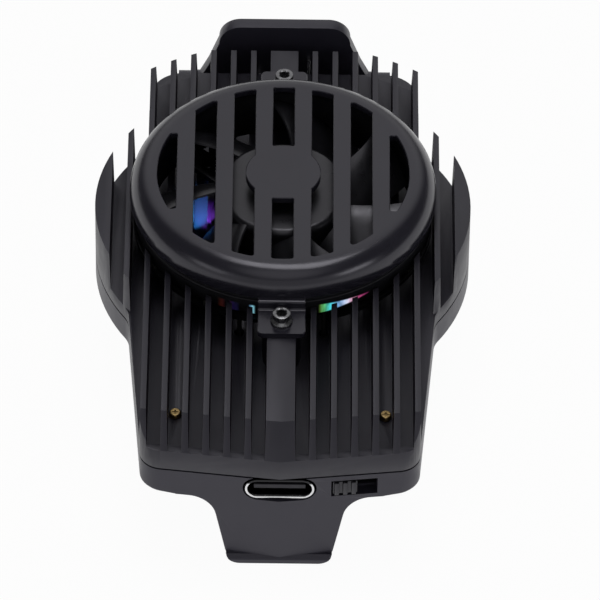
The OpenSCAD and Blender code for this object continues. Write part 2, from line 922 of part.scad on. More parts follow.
module control_board() {
    color([0.05, 0.3, 0.16])
        translate([0, 0, board_z])
            linear_extrude(height = board_thick)
                difference() {
                    intersection() {
                        outline(board_margin);
                        translate([-far / 2, -board_front])
                            square([far, board_front - board_rear]);
                    }
                    translate([-usb_width / 2 - board_gap, -far])
                        square([usb_width + 2 * board_gap, far - usb_front + usb_length + board_gap]);
                    translate([0, -front_reach])
                        rotate([0, 0, front_angle])
                            translate([0, -5])
                                square([far, 5 + switch_body_in + switch_body_depth + board_gap]);
                    for (x = [-screw_gap_x, screw_gap_x])
                        translate([x, -case_screw_front])
                            circle(r = post_radius + board_gap);
                }
}

module board_chips() {
    color([0.08, 0.08, 0.09])
        for (chip = [
            [-7.5, 3.2, 5, 5, 0.9],
            [2.5, -0.3, 4, 4, 0.8],
            [4.5, 5.2, 3, 1.8, 0.8],
            [11, 3.7, 4, 4, 1.6],
            [-9.9, -1.6, 3.2, 1.6, 1.0],
            [-1.5, 5.2, 2, 1.25, 0.8],
            [-3, -1.8, 2, 1.25, 0.8],
            [-9, -3.3, 1.6, 0.8, 0.5],
            [7.5, -1.8, 1.6, 0.8, 0.5]
        ])
            translate([chip[0] * board_grid, chip[1] * board_step - board_middle, board_top_z])
                translate([-chip[2], -chip[3], 0] * board_grid / 2)
                    cube([chip[2], chip[3], chip[4]] * board_grid);
}

module usb_shell() {
    color([0.75, 0.76, 0.78])
        difference() {
            along_y(-usb_front, usb_length)
                translate([0, usb_z])
                    stadium(usb_width, usb_height);
            along_y(-usb_front - 1, usb_length + 1 - usb_wall)
                translate([0, usb_z])
                    stadium(usb_width - 2 * usb_wall, usb_height - 2 * usb_wall);
        }
}

module usb_tongue() {
    color([0.05, 0.05, 0.05])
        translate([-tongue_width / 2, -usb_front + usb_length - usb_wall - tongue_length, usb_z - tongue_thick / 2])
            cube([tongue_width, tongue_length, tongue_thick]);
}

module usb_contacts() {
    color([0.85, 0.65, 0.3])
        for (index = [0 : 11], side = [-1, 1])
            translate([
                (index - 5.5) * contact_pitch - 0.13,
                -usb_front + usb_length - usb_wall - tongue_length + 0.6,
                usb_z + side * (tongue_thick / 2 + 0.05) - 0.05
            ])
                cube([0.26, 3.2, 0.1]);
}

module switch_body() {
    color([0.7, 0.71, 0.72])
        switch_place()
            difference() {
                union() {
                    translate([-switch_body_half, switch_body_in, switch_z - switch_body_height / 2])
                        cube([2 * switch_body_half, switch_body_depth, switch_body_height]);
                    translate([-switch_body_half, switch_body_in + switch_body_depth - 0.2, board_top_z + 0.05])
                        cube([2 * switch_body_half, switch_tab, 0.4]);
                }
                translate([
                    knob_rest - stem_half - stem_gap,
                    switch_body_in - 1,
                    switch_z - stem_height / 2 - stem_gap
                ])
                    cube([
                        knob_travel + 2 * (stem_half + stem_gap),
                        1 + stem_depth + stem_gap,
                        stem_height + 2 * stem_gap
                    ]);
            }
}

module switch_knob() {
    color([0.04, 0.04, 0.045])
        switch_place()
            translate([knob_rest, 0, switch_z]) {
                translate([-knob_width / 2, 0.1, -knob_height / 2])
                    cube([knob_width, switch_body_in - 0.4, knob_height]);
                for (rib = [-1 : 1])
                    translate([rib * 1.1 - 0.3, 0.1 - rib_out, -knob_height / 2])
                        cube([0.6, rib_out + 0.2, knob_height]);
                translate([-stem_half, 0.5, -stem_height / 2])
                    cube([2 * stem_half, switch_body_in - 0.5 + stem_depth, stem_height]);
            }
}

module fan_frame() {
    color([0.05, 0.05, 0.055])
        difference() {
            union() {
                translate([0, 0, pocket_z])
                    ring(wall_outer, wall_inner, fan_wall_height);
                translate([0, 0, shelf_z])
                    ring(ring_outer, wall_inner, shelf_thick);
                translate([0, 0, pocket_z])
                    cylinder(r = hub_radius + 0.6, h = fan_floor);
                translate([0, 0, pocket_z])
                    cylinder(r = tube_outer, h = tube_top_z - pocket_z);
                intersection() {
                    translate([0, 0, pocket_z])
                        cylinder(r = wall_inner + 0.3, h = fan_floor);
                    union() {
                        for (index = [0 : 3])
                            rotate([0, 0, 45 + 90 * index])
                                translate([0, -spoke_width / 2, pocket_z])
                                    cube([far, spoke_width, fan_floor]);
                        translate([lead_x - rib_width / 2, -far, pocket_z])
                            cube([rib_width, far, fan_floor]);
                    }
                }
            }
            translate([0, 0, fan_top_z])
                cylinder(r = tube_inner, h = far);
            fan_screw_places()
                translate([0, 0, pocket_z - 1])
                    cylinder(r = fan_shank + screw_fit, h = far);
            translate([lead_x - rib_width / 2, -far, fan_top_z])
                cube([rib_width, far - hub_radius, 2 * lead_radius + 0.3]);
        }
}

module fan_screws() {
    color([0.55, 0.55, 0.57])
        fan_screw_places()
            difference() {
                union() {
                    translate([0, 0, fan_top_z])
                        cylinder(r = fan_head, h = fan_head_height);
                    translate([0, 0, pocket_z - fan_screw_reach])
                        cylinder(r = fan_shank, h = fan_floor + fan_screw_reach + 0.2);
                }
                translate([-fan_head * 0.6, -0.15, fan_top_z + fan_head_height - 0.25])
                    cube([fan_head * 1.2, 0.3, 1]);
                translate([-0.15, -fan_head * 0.6, fan_top_z + fan_head_height - 0.25])
                    cube([0.3, fan_head * 1.2, 1]);
            }
}

module motor_board() {
    color([0.05, 0.3, 0.16])
        translate([0, 0, fan_top_z])
            ring(stator_outer + 0.6, tube_outer + 0.1, motor_board_thick);
}

module hall_sensor() {
    color([0.08, 0.08, 0.09])
        rotate([0, 0, 20])
            translate([stator_outer - 0.9, -0.9, fan_top_z + motor_board_thick])
                cube([1.3, 1.8, 0.4]);
}

module stator_core() {
    color([0.45, 0.46, 0.48])
        translate([0, 0, core_z])
            linear_extrude(height = core_height)
                difference() {
                    union() {
                        circle(r = core_inner + core_ring);
                        for (index = [0 : 3])
                            rotate(90 * index)
                                translate([0, -arm_width / 2])
                                    square([stator_outer - shoe_thick / 2, arm_width]);
                        intersection() {
                            difference() {
                                circle(r = stator_outer);
                                circle(r = stator_outer - shoe_thick);
                            }
                            for (index = [0 : 3])
                                rotate(90 * index)
                                    polygon([
                                        [0, 0],
                                        20 * [cos(shoe_half), -sin(shoe_half)],
                                        [20, 0],
                                        20 * [cos(shoe_half), sin(shoe_half)]
                                    ]);
                        }
                    }
                    circle(r = core_inner);
                }
}

module stator_coils() {
    color([0.75, 0.4, 0.2])
        for (index = [0 : 3])
            rotate([0, 0, 90 * index])
                translate([core_inner + core_ring + 0.4, 0, core_z + core_height / 2])
                    difference() {
                        translate([
                            0,
                            -arm_width / 2 - coil_wall - coil_fit,
                            -core_height / 2 - coil_wall - coil_fit
                        ])
                            cube([
                                stator_outer - shoe_thick - core_inner - core_ring - 0.8,
                                arm_width + 2 * (coil_wall + coil_fit),
                                core_height + 2 * (coil_wall + coil_fit)
                            ]);
                        translate([-1, -arm_width / 2 - coil_fit, -core_height / 2 - coil_fit])
                            cube([10, arm_width + 2 * coil_fit, core_height + 2 * coil_fit]);
                    }
}

module bearing_sleeve() {
    color([0.6, 0.45, 0.25])
        translate([0, 0, sleeve_z])
            ring(sleeve_outer, shaft_radius + shaft_fit, tube_top_z - sleeve_z);
}

// One blade: a piece of a round shell whose axis is radial
module blade() {
    half = blade_chord / 2;
    chord = sqrt(blade_chord * blade_chord + blade_height * blade_height);
    sink = sqrt(blade_bend * blade_bend - chord * chord / 4);
    middle = (blade_top_z + blade_z) / 2;
    intersection() {
        translate([0, sink * blade_height / chord, middle - sink * blade_chord / chord])
            rotate([0, 90, 0])
                difference() {
                    cylinder(r = blade_bend, h = far);
                    translate([0, 0, -1])
                        cylinder(r = blade_bend - blade_thick, h = far + 2);
                }
        translate([0, 0, blade_z])
            linear_extrude(height = blade_height)
                difference() {
                    intersection() {
                        circle(r = tip_radius);
                        translate([0, -half - 1])
                            square([far, blade_chord + 2]);
                    }
                    circle(r = hub_radius - hub_wall / 2);
                }
    }
}

module fan_rotor() {
    color([0.05, 0.05, 0.055])
        difference() {
            union() {
                difference() {
                    translate([0, 0, hub_foot_z])
                        cylinder(r = hub_radius, h = hub_z - hub_foot_z);
                    translate([0, 0, hub_foot_z - 1])
                        cylinder(r = hub_radius - hub_wall, h = hub_z - hub_roof - hub_foot_z + 1);
                }
                translate([0, 0, tube_top_z + 0.3])
                    cylinder(r = tube_outer, h = hub_z - hub_roof - tube_top_z);
                for (index = [0 : blade_count - 1])
                    rotate([0, 0, blade_start + 360 / blade_count * index])
                        blade();
            }
            translate([0, 0, tube_top_z - 1])
                cylinder(r = shaft_radius + rotor_fit / 2, h = hub_z - 0.3 - tube_top_z + 1);
        }
}

module rotor_shaft() {
    color([0.7, 0.71, 0.73])
        difference() {
            translate([0, 0, shaft_z])
                cylinder(r = shaft_radius, h = hub_z - 0.35 - shaft_z);
            translate([0, 0, clip_z])
                ring(shaft_radius + 1, shaft_radius - groove_depth, clip_thick + 0.06);
        }
}

module rotor_yoke() {
    color([0.6, 0.6, 0.62])
        translate([0, 0, magnet_z])
            ring(yoke_outer, yoke_outer - yoke_thick, magnet_height);
}

module rotor_magnet() {
    color([0.15, 0.15, 0.16])
        translate([0, 0, magnet_z])
            ring(magnet_outer, magnet_inner, magnet_height);
}

module shaft_clip() {
    color([0.3, 0.3, 0.32])
        translate([0, 0, clip_z + 0.03])
            difference() {
                ring(shaft_radius + 0.55, shaft_radius - groove_depth + 0.02, clip_thick);
                translate([0, -0.2, -1])
                    cube([far, 0.4, 3]);
            }
}

module wire_run(points, radius) {
    for (index = [0 : len(points) - 2]) {
        start = points[index];
        step = points[index + 1] - start;
        length = norm(step);
        translate(start)
            rotate([0, acos(step[2] / length), atan2(step[1], step[0])])
                cylinder(r = radius, h = length);
    }
    for (index = [1 : len(points) - 2])
        translate(points[index])
            sphere(r = radius);
}

module fan_lead() {
    run_z = fan_top_z + lead_radius + 0.03;
    edge = stator_outer + 0.62;
    color([0.1, 0.1, 0.1])
        wire_run([
            [lead_x, -sqrt(edge * edge - (lead_x - lead_radius) * (lead_x - lead_radius)), run_z],
            [lead_x, -lead_y, run_z],
            [lead_x, -lead_y, board_top_z + lead_radius + 0.05],
            [lead_x, -board_rear - lead_lap, board_top_z + lead_radius + 0.05]
        ], lead_radius);
}

module led_lead() {
    color([0.1, 0.1, 0.1])
        wire_run([
            [-lead_x, -lead_y, pocket_z - 0.02],
            [-lead_x, -lead_y, board_top_z + lead_radius + 0.05],
            [-lead_x, -board_rear - lead_lap, board_top_z + lead_radius + 0.05]
        ], lead_radius);
}

module led_board() {
    color([0.9, 0.9, 0.88])
        translate([0, 0, pocket_z])
            difference() {
                ring(ring_outer, ring_inner, board_ring_thick);
                translate([lead_x - rib_width / 2, -far, -1])
                    cube([rib_width, far, 3]);
            }
}

module led_chips() {
    color([0.95, 0.95, 0.85])
        for (index = [0 : 11])
            rotate([0, 0, 30 * index])
                translate([ring_inner + 0.1, -0.5, pocket_z + board_ring_thick])
                    cube([ring_width - 0.2, 1, led_height]);
}

module light_ring() {
    color([0.4, 0.6, 0.9])
        translate([0, 0, ring_z])
            ring(ring_outer, ring_inner, ring_height);
}

// Section of the cover's shell
module cover_section() {
    translate([0, cover_z - cover_thick])
        square([cover_flat, cover_thick]);
    translate([cover_flat, arc_z])
        intersection() {
            difference() {
                circle(r = arc_radius);
                circle(r = arc_radius - cover_thick);
            }
            polygon([
                [0, 0],
                2 * arc_radius * [sin(arc_angle), cos(arc_angle)],
                [arc_radius, 2 * arc_radius],
                [0, 2 * arc_radius]
            ]);
        }
    translate([cover_radius - cover_thick, skirt_low_z])
        square([cover_thick, rim_end_z - skirt_low_z]);
}

module cover_slots() {
    difference() {
        intersection() {
            circle(r = slot_circle);
            union() {
                for (index = [-2 : 2])
                    translate([index * slot_pitch - slot_width / 2, -far / 2])
                        square([slot_width, far]);
                for (index = [-3, 3])
                    translate([index * slot_pitch - slot_width / 2, -outer_slot_half])
                        square([slot_width, 2 * outer_slot_half]);
            }
        }
        circle(r = cover_hub);
        square([slot_width + 1, 2 * cover_hub + 0.2], center = true);
    }
}

module lug_foot() {
    half = lug_width / 2;
    difference() {
        union() {
            translate([-half, -lug_reach + lug_corner])
                square([lug_width, lug_reach - lug_corner - lug_in]);
            translate([-half + lug_corner, -lug_reach])
                square([lug_width - 2 * lug_corner, lug_corner + 1]);
            for (side = [-1, 1])
                translate([side * (half - lug_corner), -lug_reach + lug_corner])
                    circle(r = lug_corner);
        }
        translate([0, -lug_screw_at])
            circle(r = cover_shank + screw_fit);
    }
}

module fan_cover() {
    color([0.07, 0.07, 0.075])
        union() {
            difference() {
                rotate_extrude()
                    cover_section();
                translate([0, 0, cover_z - cover_thick - 1])
                    linear_extrude(height = cover_thick + 2)
                        cover_slots();
            }
            for (side = [0, 1])
                mirror([0, side, 0]) {
                    translate([0, 0, fins_z])
                        linear_extrude(height = lug_thick)
                            lug_foot();
                    along_x(-lug_width / 2, lug_width) {
                        translate([-lug_in - lug_thick, fins_z])
                            square([lug_thick, skirt_low_z + lug_tongue - fins_z]);
                        translate([-tongue_out, skirt_low_z])
                            square([tongue_out - tongue_in, lug_tongue]);
                    }
                }
        }
}

module cover_screws() {
    color([0.05, 0.05, 0.055])
        for (side = [-1, 1])
            translate([0, side * lug_screw_at, fins_z + lug_thick])
                difference() {
                    union() {
                        cylinder(r = cover_head, h = cover_head_height);
                        translate([0, 0, -lug_thick - cover_shank_length])
                            cylinder(r = cover_shank, h = lug_thick + cover_shank_length + 0.2);
                    }
                    for (turn = [0, 90])
                        rotate([0, 0, turn + 45])
                            translate([-cover_head * 0.65, -0.2, cover_head_height - 0.5])
                                cube([cover_head * 1.3, 0.4, 1]);
                }
}

module case_screws() {
    color([0.75, 0.58, 0.25])
        screw_places()
            difference() {
                union() {
                    translate([0, 0, floor_z])
                        cylinder(r = case_head, h = case_head_height);
                    translate([0, 0, seam_z - case_screw_reach + 0.2])
                        cylinder(r = case_shank, h = sink_base + case_screw_reach);
                }
                for (turn = [0, 90])
                    rotate([0, 0, turn])
                        translate([-case_head * 0.65, -0.12, floor_z + case_head_height - 0.3])
                            cube([case_head * 1.3, 0.24, 1]);
            }
}

module hinge_pin() {
    half = barrel_half + hinge_gap + hinge_lug;
    color([0.7, 0.71, 0.73])
        translate([-half, hinge_y, hinge_z])
            rotate([0, 90, 0])
                cylinder(r = pin_radius, h = 2 * half);
}

// Middle line of the torsion spring: a leg on the body, the coils, a leg on the lever
function coil_point(turn) = [
    (turn - coil_turns / 2) * coil_pitch,
    hinge_y - coil_radius * cos(360 * turn),
    hinge_z - coil_radius * sin(360 * turn)
];
function coil_tangent(turn) = [
    coil_pitch,
    coil_radius * 2 * PI * sin(360 * turn),
    -coil_radius * 2 * PI * cos(360 * turn)
];
leg_turn = leg_angle / 360;
coil_steps = 8 * coil_turns;
leg_way = [0, -sin(leg_angle), cos(leg_angle)];
spring_points = concat(
    [for (part = [1, 0.5]) coil_point(leg_turn) + part * leg_case * leg_way],
    [for (step = [0 : coil_steps]) coil_point(leg_turn + (coil_turns - leg_turn) * step / coil_steps)],
    [for (part = [0.5, 1]) coil_point(coil_turns) + [0, 0, part * leg_lever]]
);
spring_ways = concat(
    [-leg_way, -leg_way],
    [for (step = [0 : coil_steps]) coil_tangent(leg_turn + (coil_turns - leg_turn) * step / coil_steps)],
    [[0, 0, 1], [0, 0, 1]]
);

module wound_tube(points, ways, radius) {
    sides = 6;
    rings = len(points);
    unit = [for (way = ways) way / norm(way)];
    first = [for (way = unit) let (lean = [1, 0, 0] - way[0] * way) lean / norm(lean)];
    corners = [
        for (index = [0 : rings - 1], side = [0 : sides - 1])
            points[index]
                + radius * cos(360 * side / sides) * first[index]
                + radius * sin(360 * side / sides) * cross(unit[index], first[index])
    ];
    faces = concat(
        [[for (side = [0 : sides - 1]) side]],
        [
            for (index = [0 : rings - 2], side = [0 : sides - 1])
                [
                    index * sides + side,
                    (index + 1) * sides + side,
                    (index + 1) * sides + (side + 1) % sides,
                    index * sides + (side + 1) % sides
                ]
        ],
        [[for (side = [0 : sides - 1]) rings * sides - 1 - side]]
    );
    polyhedron(points = corners, faces = faces, convexity = 10);
}

module clip_spring() {
    color([0.75, 0.76, 0.78])
        wound_tube(spring_points, spring_ways, wire_radius);
}

// Upright part of the lever, seen from behind
module lever_profile() {
    for (side = [0, 1])
        mirror([side, 0]) {
            polygon([
                [-1, hinge_z],
                [barrel_half, hinge_z],
                [barrel_half, lever_root_z],
                [lever_mid_half, lever_mid_z],
                [lever_top_half + 0.3, lever_top_z - lever_corner],
                [lever_top_half - lever_corner + 0.3, lever_top_z],
                [-1, lever_top_z]
            ]);
            translate([lever_top_half - lever_corner + 0.3, lever_top_z - lever_corner])
                circle(r = lever_corner);
        }
}

// Lower part of the lever, seen from behind, with the hinge's axis at height 0
module rear_jaw_profile(inset, top) {
    low = -rear_jaw_length + inset;
    round = jaw_corner - min(inset, jaw_corner - 0.5);
    for (side = [0, 1])
        mirror([side, 0]) {
            polygon([
                [-1, low],
                [jaw_tip_half - inset - round, low],
                [jaw_tip_half - inset, low + round],
                [jaw_tip_half + 2 - inset, top],
                [-1, top]
            ]);
            translate([jaw_tip_half - inset - round, low + round])
                circle(r = round);
        }
}

module clip_lever() {
    color([0.05, 0.05, 0.055])
        difference() {
            union() {
                along_y(hinge_y - lever_in, lever_thick)
                    lever_profile();
                translate([-barrel_half, hinge_y, hinge_z])
                    rotate([0, 90, 0])
                        cylinder(r = barrel_radius, h = 2 * barrel_half);
                translate([0, hinge_y, hinge_z])
                    rotate([-toe_in, 0, 0])
                        along_y(-lever_in, lever_thick)
                            rear_jaw_profile(0, 0);
            }
            translate([-far / 2, hinge_y, hinge_z])
                rotate([0, 90, 0])
                    cylinder(r = pin_radius + pin_fit, h = far);
            translate([-spring_window, hinge_y - 10, window_low_z])
                cube([2 * spring_window, 20, window_high_z - window_low_z]);
        }
}

module rear_jaw_pad() {
    color([0.12, 0.12, 0.12])
        translate([0, hinge_y, hinge_z])
            rotate([-toe_in, 0, 0])
                along_y(-lever_in - pad_thick, pad_thick)
                    rear_jaw_profile(pad_margin, -jaw_root - 1);
}

heat_sink();
base_case();
front_jaw_pad();
cold_plate();
thermal_pad();
peltier_hot_plate();
peltier_cold_plate();
peltier_pellets();
peltier_leads();
foam_gasket();
control_board();
board_chips();
usb_shell();
usb_tongue();
usb_contacts();
switch_body();
switch_knob();
fan_frame();
fan_screws();
motor_board();
hall_sensor();
stator_core();
stator_coils();
bearing_sleeve();
fan_rotor();
rotor_shaft();
rotor_yoke();
rotor_magnet();
shaft_clip();
fan_lead();
led_lead();
led_board();
led_chips();
light_ring();
fan_cover();
cover_screws();
case_screws();
hinge_pin();
clip_spring();
clip_lever();
rear_jaw_pad();
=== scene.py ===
import json
import math

import bmesh
import bpy
from mathutils import Matrix, Quaternion, Vector

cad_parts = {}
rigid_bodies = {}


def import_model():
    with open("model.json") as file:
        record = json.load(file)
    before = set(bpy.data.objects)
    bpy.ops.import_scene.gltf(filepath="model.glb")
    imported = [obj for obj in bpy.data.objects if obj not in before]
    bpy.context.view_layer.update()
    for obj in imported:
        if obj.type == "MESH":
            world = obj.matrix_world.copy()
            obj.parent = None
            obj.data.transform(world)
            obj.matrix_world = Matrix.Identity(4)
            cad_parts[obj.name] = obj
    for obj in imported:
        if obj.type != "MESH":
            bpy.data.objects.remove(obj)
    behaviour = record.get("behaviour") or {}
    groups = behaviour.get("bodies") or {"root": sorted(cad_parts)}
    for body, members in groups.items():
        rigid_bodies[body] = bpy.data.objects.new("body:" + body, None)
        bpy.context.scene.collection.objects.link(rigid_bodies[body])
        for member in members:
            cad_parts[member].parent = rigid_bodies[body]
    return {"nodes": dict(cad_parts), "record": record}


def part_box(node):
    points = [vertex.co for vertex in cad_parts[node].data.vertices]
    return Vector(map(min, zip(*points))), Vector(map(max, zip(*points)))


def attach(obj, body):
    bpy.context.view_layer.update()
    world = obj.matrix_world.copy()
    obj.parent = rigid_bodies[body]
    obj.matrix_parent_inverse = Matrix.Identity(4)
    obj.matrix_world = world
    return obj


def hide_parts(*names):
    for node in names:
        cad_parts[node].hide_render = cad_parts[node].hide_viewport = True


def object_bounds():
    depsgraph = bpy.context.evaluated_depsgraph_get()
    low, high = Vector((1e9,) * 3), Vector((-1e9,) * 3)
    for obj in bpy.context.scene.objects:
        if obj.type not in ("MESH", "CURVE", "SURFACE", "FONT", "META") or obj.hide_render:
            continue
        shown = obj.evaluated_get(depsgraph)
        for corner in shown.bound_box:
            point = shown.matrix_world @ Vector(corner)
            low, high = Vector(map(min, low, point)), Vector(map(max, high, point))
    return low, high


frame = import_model()
CAD_LOW, CAD_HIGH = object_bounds()
NODES = frame["nodes"]
RECORD = frame["record"]
SLOT_OF = {s["node"]: s["material_slot"] for s in RECORD["subparts"]}
BODY_OF = {n: b for b, members in RECORD["behaviour"]["bodies"].items() for n in members}
MM = 0.001
UP = Vector((0, 0, 1))

# Levels and reaches read from the frame
SINK_LOW, SINK_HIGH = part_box("heat_sink")
CASE_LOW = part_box("base_case")[0]
COVER_LOW, COVER_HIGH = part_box("fan_cover")
RING_LOW, RING_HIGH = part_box("light_ring")
ROTOR_LOW, ROTOR_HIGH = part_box("fan_rotor")
PIN_LOW, PIN_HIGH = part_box("hinge_pin")
PLATE_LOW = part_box("cold_plate")[0]
FIN_TOP = SINK_HIGH.z
FLOOR_LEVEL = CAD_LOW.z
CASE_UNDERSIDE = PLATE_LOW.z + 0.2 * MM


# Camera, light and floor

VIEW_ELEVATION = math.radians(42.9)
VIEW_ROLL = math.radians(0.8)
VIEW_DISTANCE = 0.950
LENS = 431.5
AIM = Vector((2.37 * MM, -18.22 * MM, FIN_TOP))
BACK_PANEL = (0, 0.733, 0.680)
PANEL_TONE = 0.74
FRONT_PANEL = (0, -0.5, 0.866)
FRONT_TONE = 0.70
STRIP_TONE = 0.45
SIDE_TONE = 0.10
LIT_SHARE = 0.7
FLOOR_HALF = 3.0
FLOOR_TONE = 0.93
FLOOR_GLOW = 0.96
LAMP_CONE = math.radians(34)
LAMP_BLEND = 0.7
LAMP_SIZE = 0.2 * MM


def photo_camera():
    data = bpy.data.cameras.new("photo_camera")
    data.lens = LENS
    data.sensor_width = 36.0
    data.clip_start, data.clip_end = 0.01, 20.0
    camera = bpy.data.objects.new("photo_camera", data)
    bpy.context.scene.collection.objects.link(camera)
    back = Vector((0, -math.cos(VIEW_ELEVATION), math.sin(VIEW_ELEVATION)))
    camera.location = Vector((0, 0, FIN_TOP)) + back * VIEW_DISTANCE
    look = (AIM - camera.location).to_track_quat("-Z", "Y")
    camera.rotation_mode = "QUATERNION"
    camera.rotation_quaternion = look @ Quaternion((0, 0, 1), VIEW_ROLL)
    bpy.context.scene.camera = camera


def soft_box(name, place, aim, size, power):
    data = bpy.data.lights.new(name, "AREA")
    data.shape = "RECTANGLE"
    data.size, data.size_y = size
    data.energy = power
    lamp = bpy.data.objects.new(name, data)
    bpy.context.scene.collection.objects.link(lamp)
    lamp.location = place
    lamp.rotation_mode = "QUATERNION"
    lamp.rotation_quaternion = (Vector(aim) - Vector(place)).to_track_quat("-Z", "Y")


def ring_lamp(name, place, aim, colour, power):
    """A small coloured lamp inside the fan, where light from the ring falls on a blade."""
    data = bpy.data.lights.new(name, "SPOT")
    data.color = colour
    data.energy = power
    data.spot_size = LAMP_CONE
    data.spot_blend = LAMP_BLEND
    data.shadow_soft_size = LAMP_SIZE
    lamp = bpy.data.objects.new(name, data)
    bpy.context.scene.collection.objects.link(lamp)
    lamp.location = Vector(place) * MM
    lamp.rotation_mode = "QUATERNION"
    lamp.rotation_quaternion = (Vector(aim) - Vector(place)).to_track_quat("-Z", "Y")
    lamp.visible_camera = False
    lamp.visible_glossy = False


def seen_directly(nodes, links):
    """1 for rays from the camera, a mirror or a clear piece, 0 for the rest."""
    path = nodes.new("ShaderNodeLightPath")
    total = path.outputs["Is Camera Ray"]
    for other in ("Is Glossy Ray", "Is Transmission Ray"):
        more = nodes.new("ShaderNodeMath")
        more.operation = "MAXIMUM"
        links.new(total, more.inputs[0])
        links.new(path.outputs[other], more.inputs[1])
        total = more.outputs[0]
    return total


def white_room():
    """A white sweep at the horizon, panels high at the back and front, dim sides."""
    world = bpy.data.worlds.new("white_room")
    bpy.context.scene.world = world
    world.use_nodes = True
    nodes, links = world.node_tree.nodes, world.node_tree.links
    nodes.clear()

    def node(kind, *values, **settings):
        made = nodes.new(kind)
        for key, value in settings.items():
            setattr(made, key, value)
        for socket, value in zip(made.inputs, values):
            if isinstance(value, bpy.types.NodeSocket):
                links.new(value, socket)
            else:
                socket.default_value = value
        return made.outputs[0]

    def step(value, start, end, low, high):
        return node("ShaderNodeMapRange", value, start, end, low, high, interpolation_type="SMOOTHSTEP")

    def plus(a, b):
        return node("ShaderNodeMath", a, b, operation="ADD")

    def facing(way):
        dot = nodes.new("ShaderNodeVectorMath")
        dot.operation = "DOT_PRODUCT"
        links.new(place, dot.inputs[0])
        dot.inputs[1].default_value = way
        return dot.outputs["Value"]

    place = nodes.new("ShaderNodeTexCoord").outputs["Generated"]
    split = nodes.new("ShaderNodeSeparateXYZ")
    links.new(place, split.inputs[0])
    back = step(facing(BACK_PANEL), 0.72, 0.95, 0.0, PANEL_TONE)
    front = step(facing(FRONT_PANEL), 0.88, 0.99, 0.0, FRONT_TONE)
    strip = node("ShaderNodeMath", step(split.outputs["Y"], -0.2, -0.5, 0.0, STRIP_TONE),
                 step(split.outputs["Z"], 0.60, 0.48, 0.0, 1.0), operation="MULTIPLY")
    tone = plus(plus(plus(back, front), strip), SIDE_TONE)
    sweep = step(split.outputs["Z"], 0.05, 0.14, 1.0, 0.0)
    tone = node("ShaderNodeMath", tone, sweep, operation="MAXIMUM")
    seen = node("ShaderNodeBackground", tone, 1.0)
    lit = node("ShaderNodeBackground", tone, LIT_SHARE)
    out = nodes.new("ShaderNodeOutputWorld")
    links.new(node("ShaderNodeMixShader", seen_directly(nodes, links), lit, seen), out.inputs["Surface"])


def pale_floor():
    half = FLOOR_HALF
    mesh = bpy.data.meshes.new("pale_floor")
    corners = [(-half, -half), (half, -half), (half, half), (-half, half)]
    mesh.from_pydata([(x, y, FLOOR_LEVEL - 0.02 * MM) for x, y in corners], [], [(0, 1, 2, 3)])
    floor = bpy.data.objects.new("pale_floor", mesh)
    bpy.context.scene.collection.objects.link(floor)
    mat = bpy.data.materials.new("pale_floor")
    mat.use_nodes = True
    nodes, links = mat.node_tree.nodes, mat.node_tree.links
    shader = nodes["Principled BSDF"]
    shader.inputs["Base Color"].default_value = (FLOOR_TONE, FLOOR_TONE, FLOOR_TONE, 1)
    shader.inputs["Roughness"].default_value = 0.9
    glow = nodes.new("ShaderNodeEmission")
    share = nodes.new("ShaderNodeMath")
    share.operation = "MULTIPLY"
    share.inputs[1].default_value = FLOOR_GLOW
    mix = nodes.new("ShaderNodeMixShader")
    links.new(seen_directly(nodes, links), share.inputs[0])
    links.new(share.outputs[0], mix.inputs["Fac"])
    links.new(shader.outputs[0], mix.inputs[1])
    links.new(glow.outputs[0], mix.inputs[2])
    links.new(mix.outputs[0], nodes["Material Output"].inputs["Surface"])
    mesh.materials.append(mat)


# Finishes

SHEEN_TINT = (0.99, 0.97, 1.06)


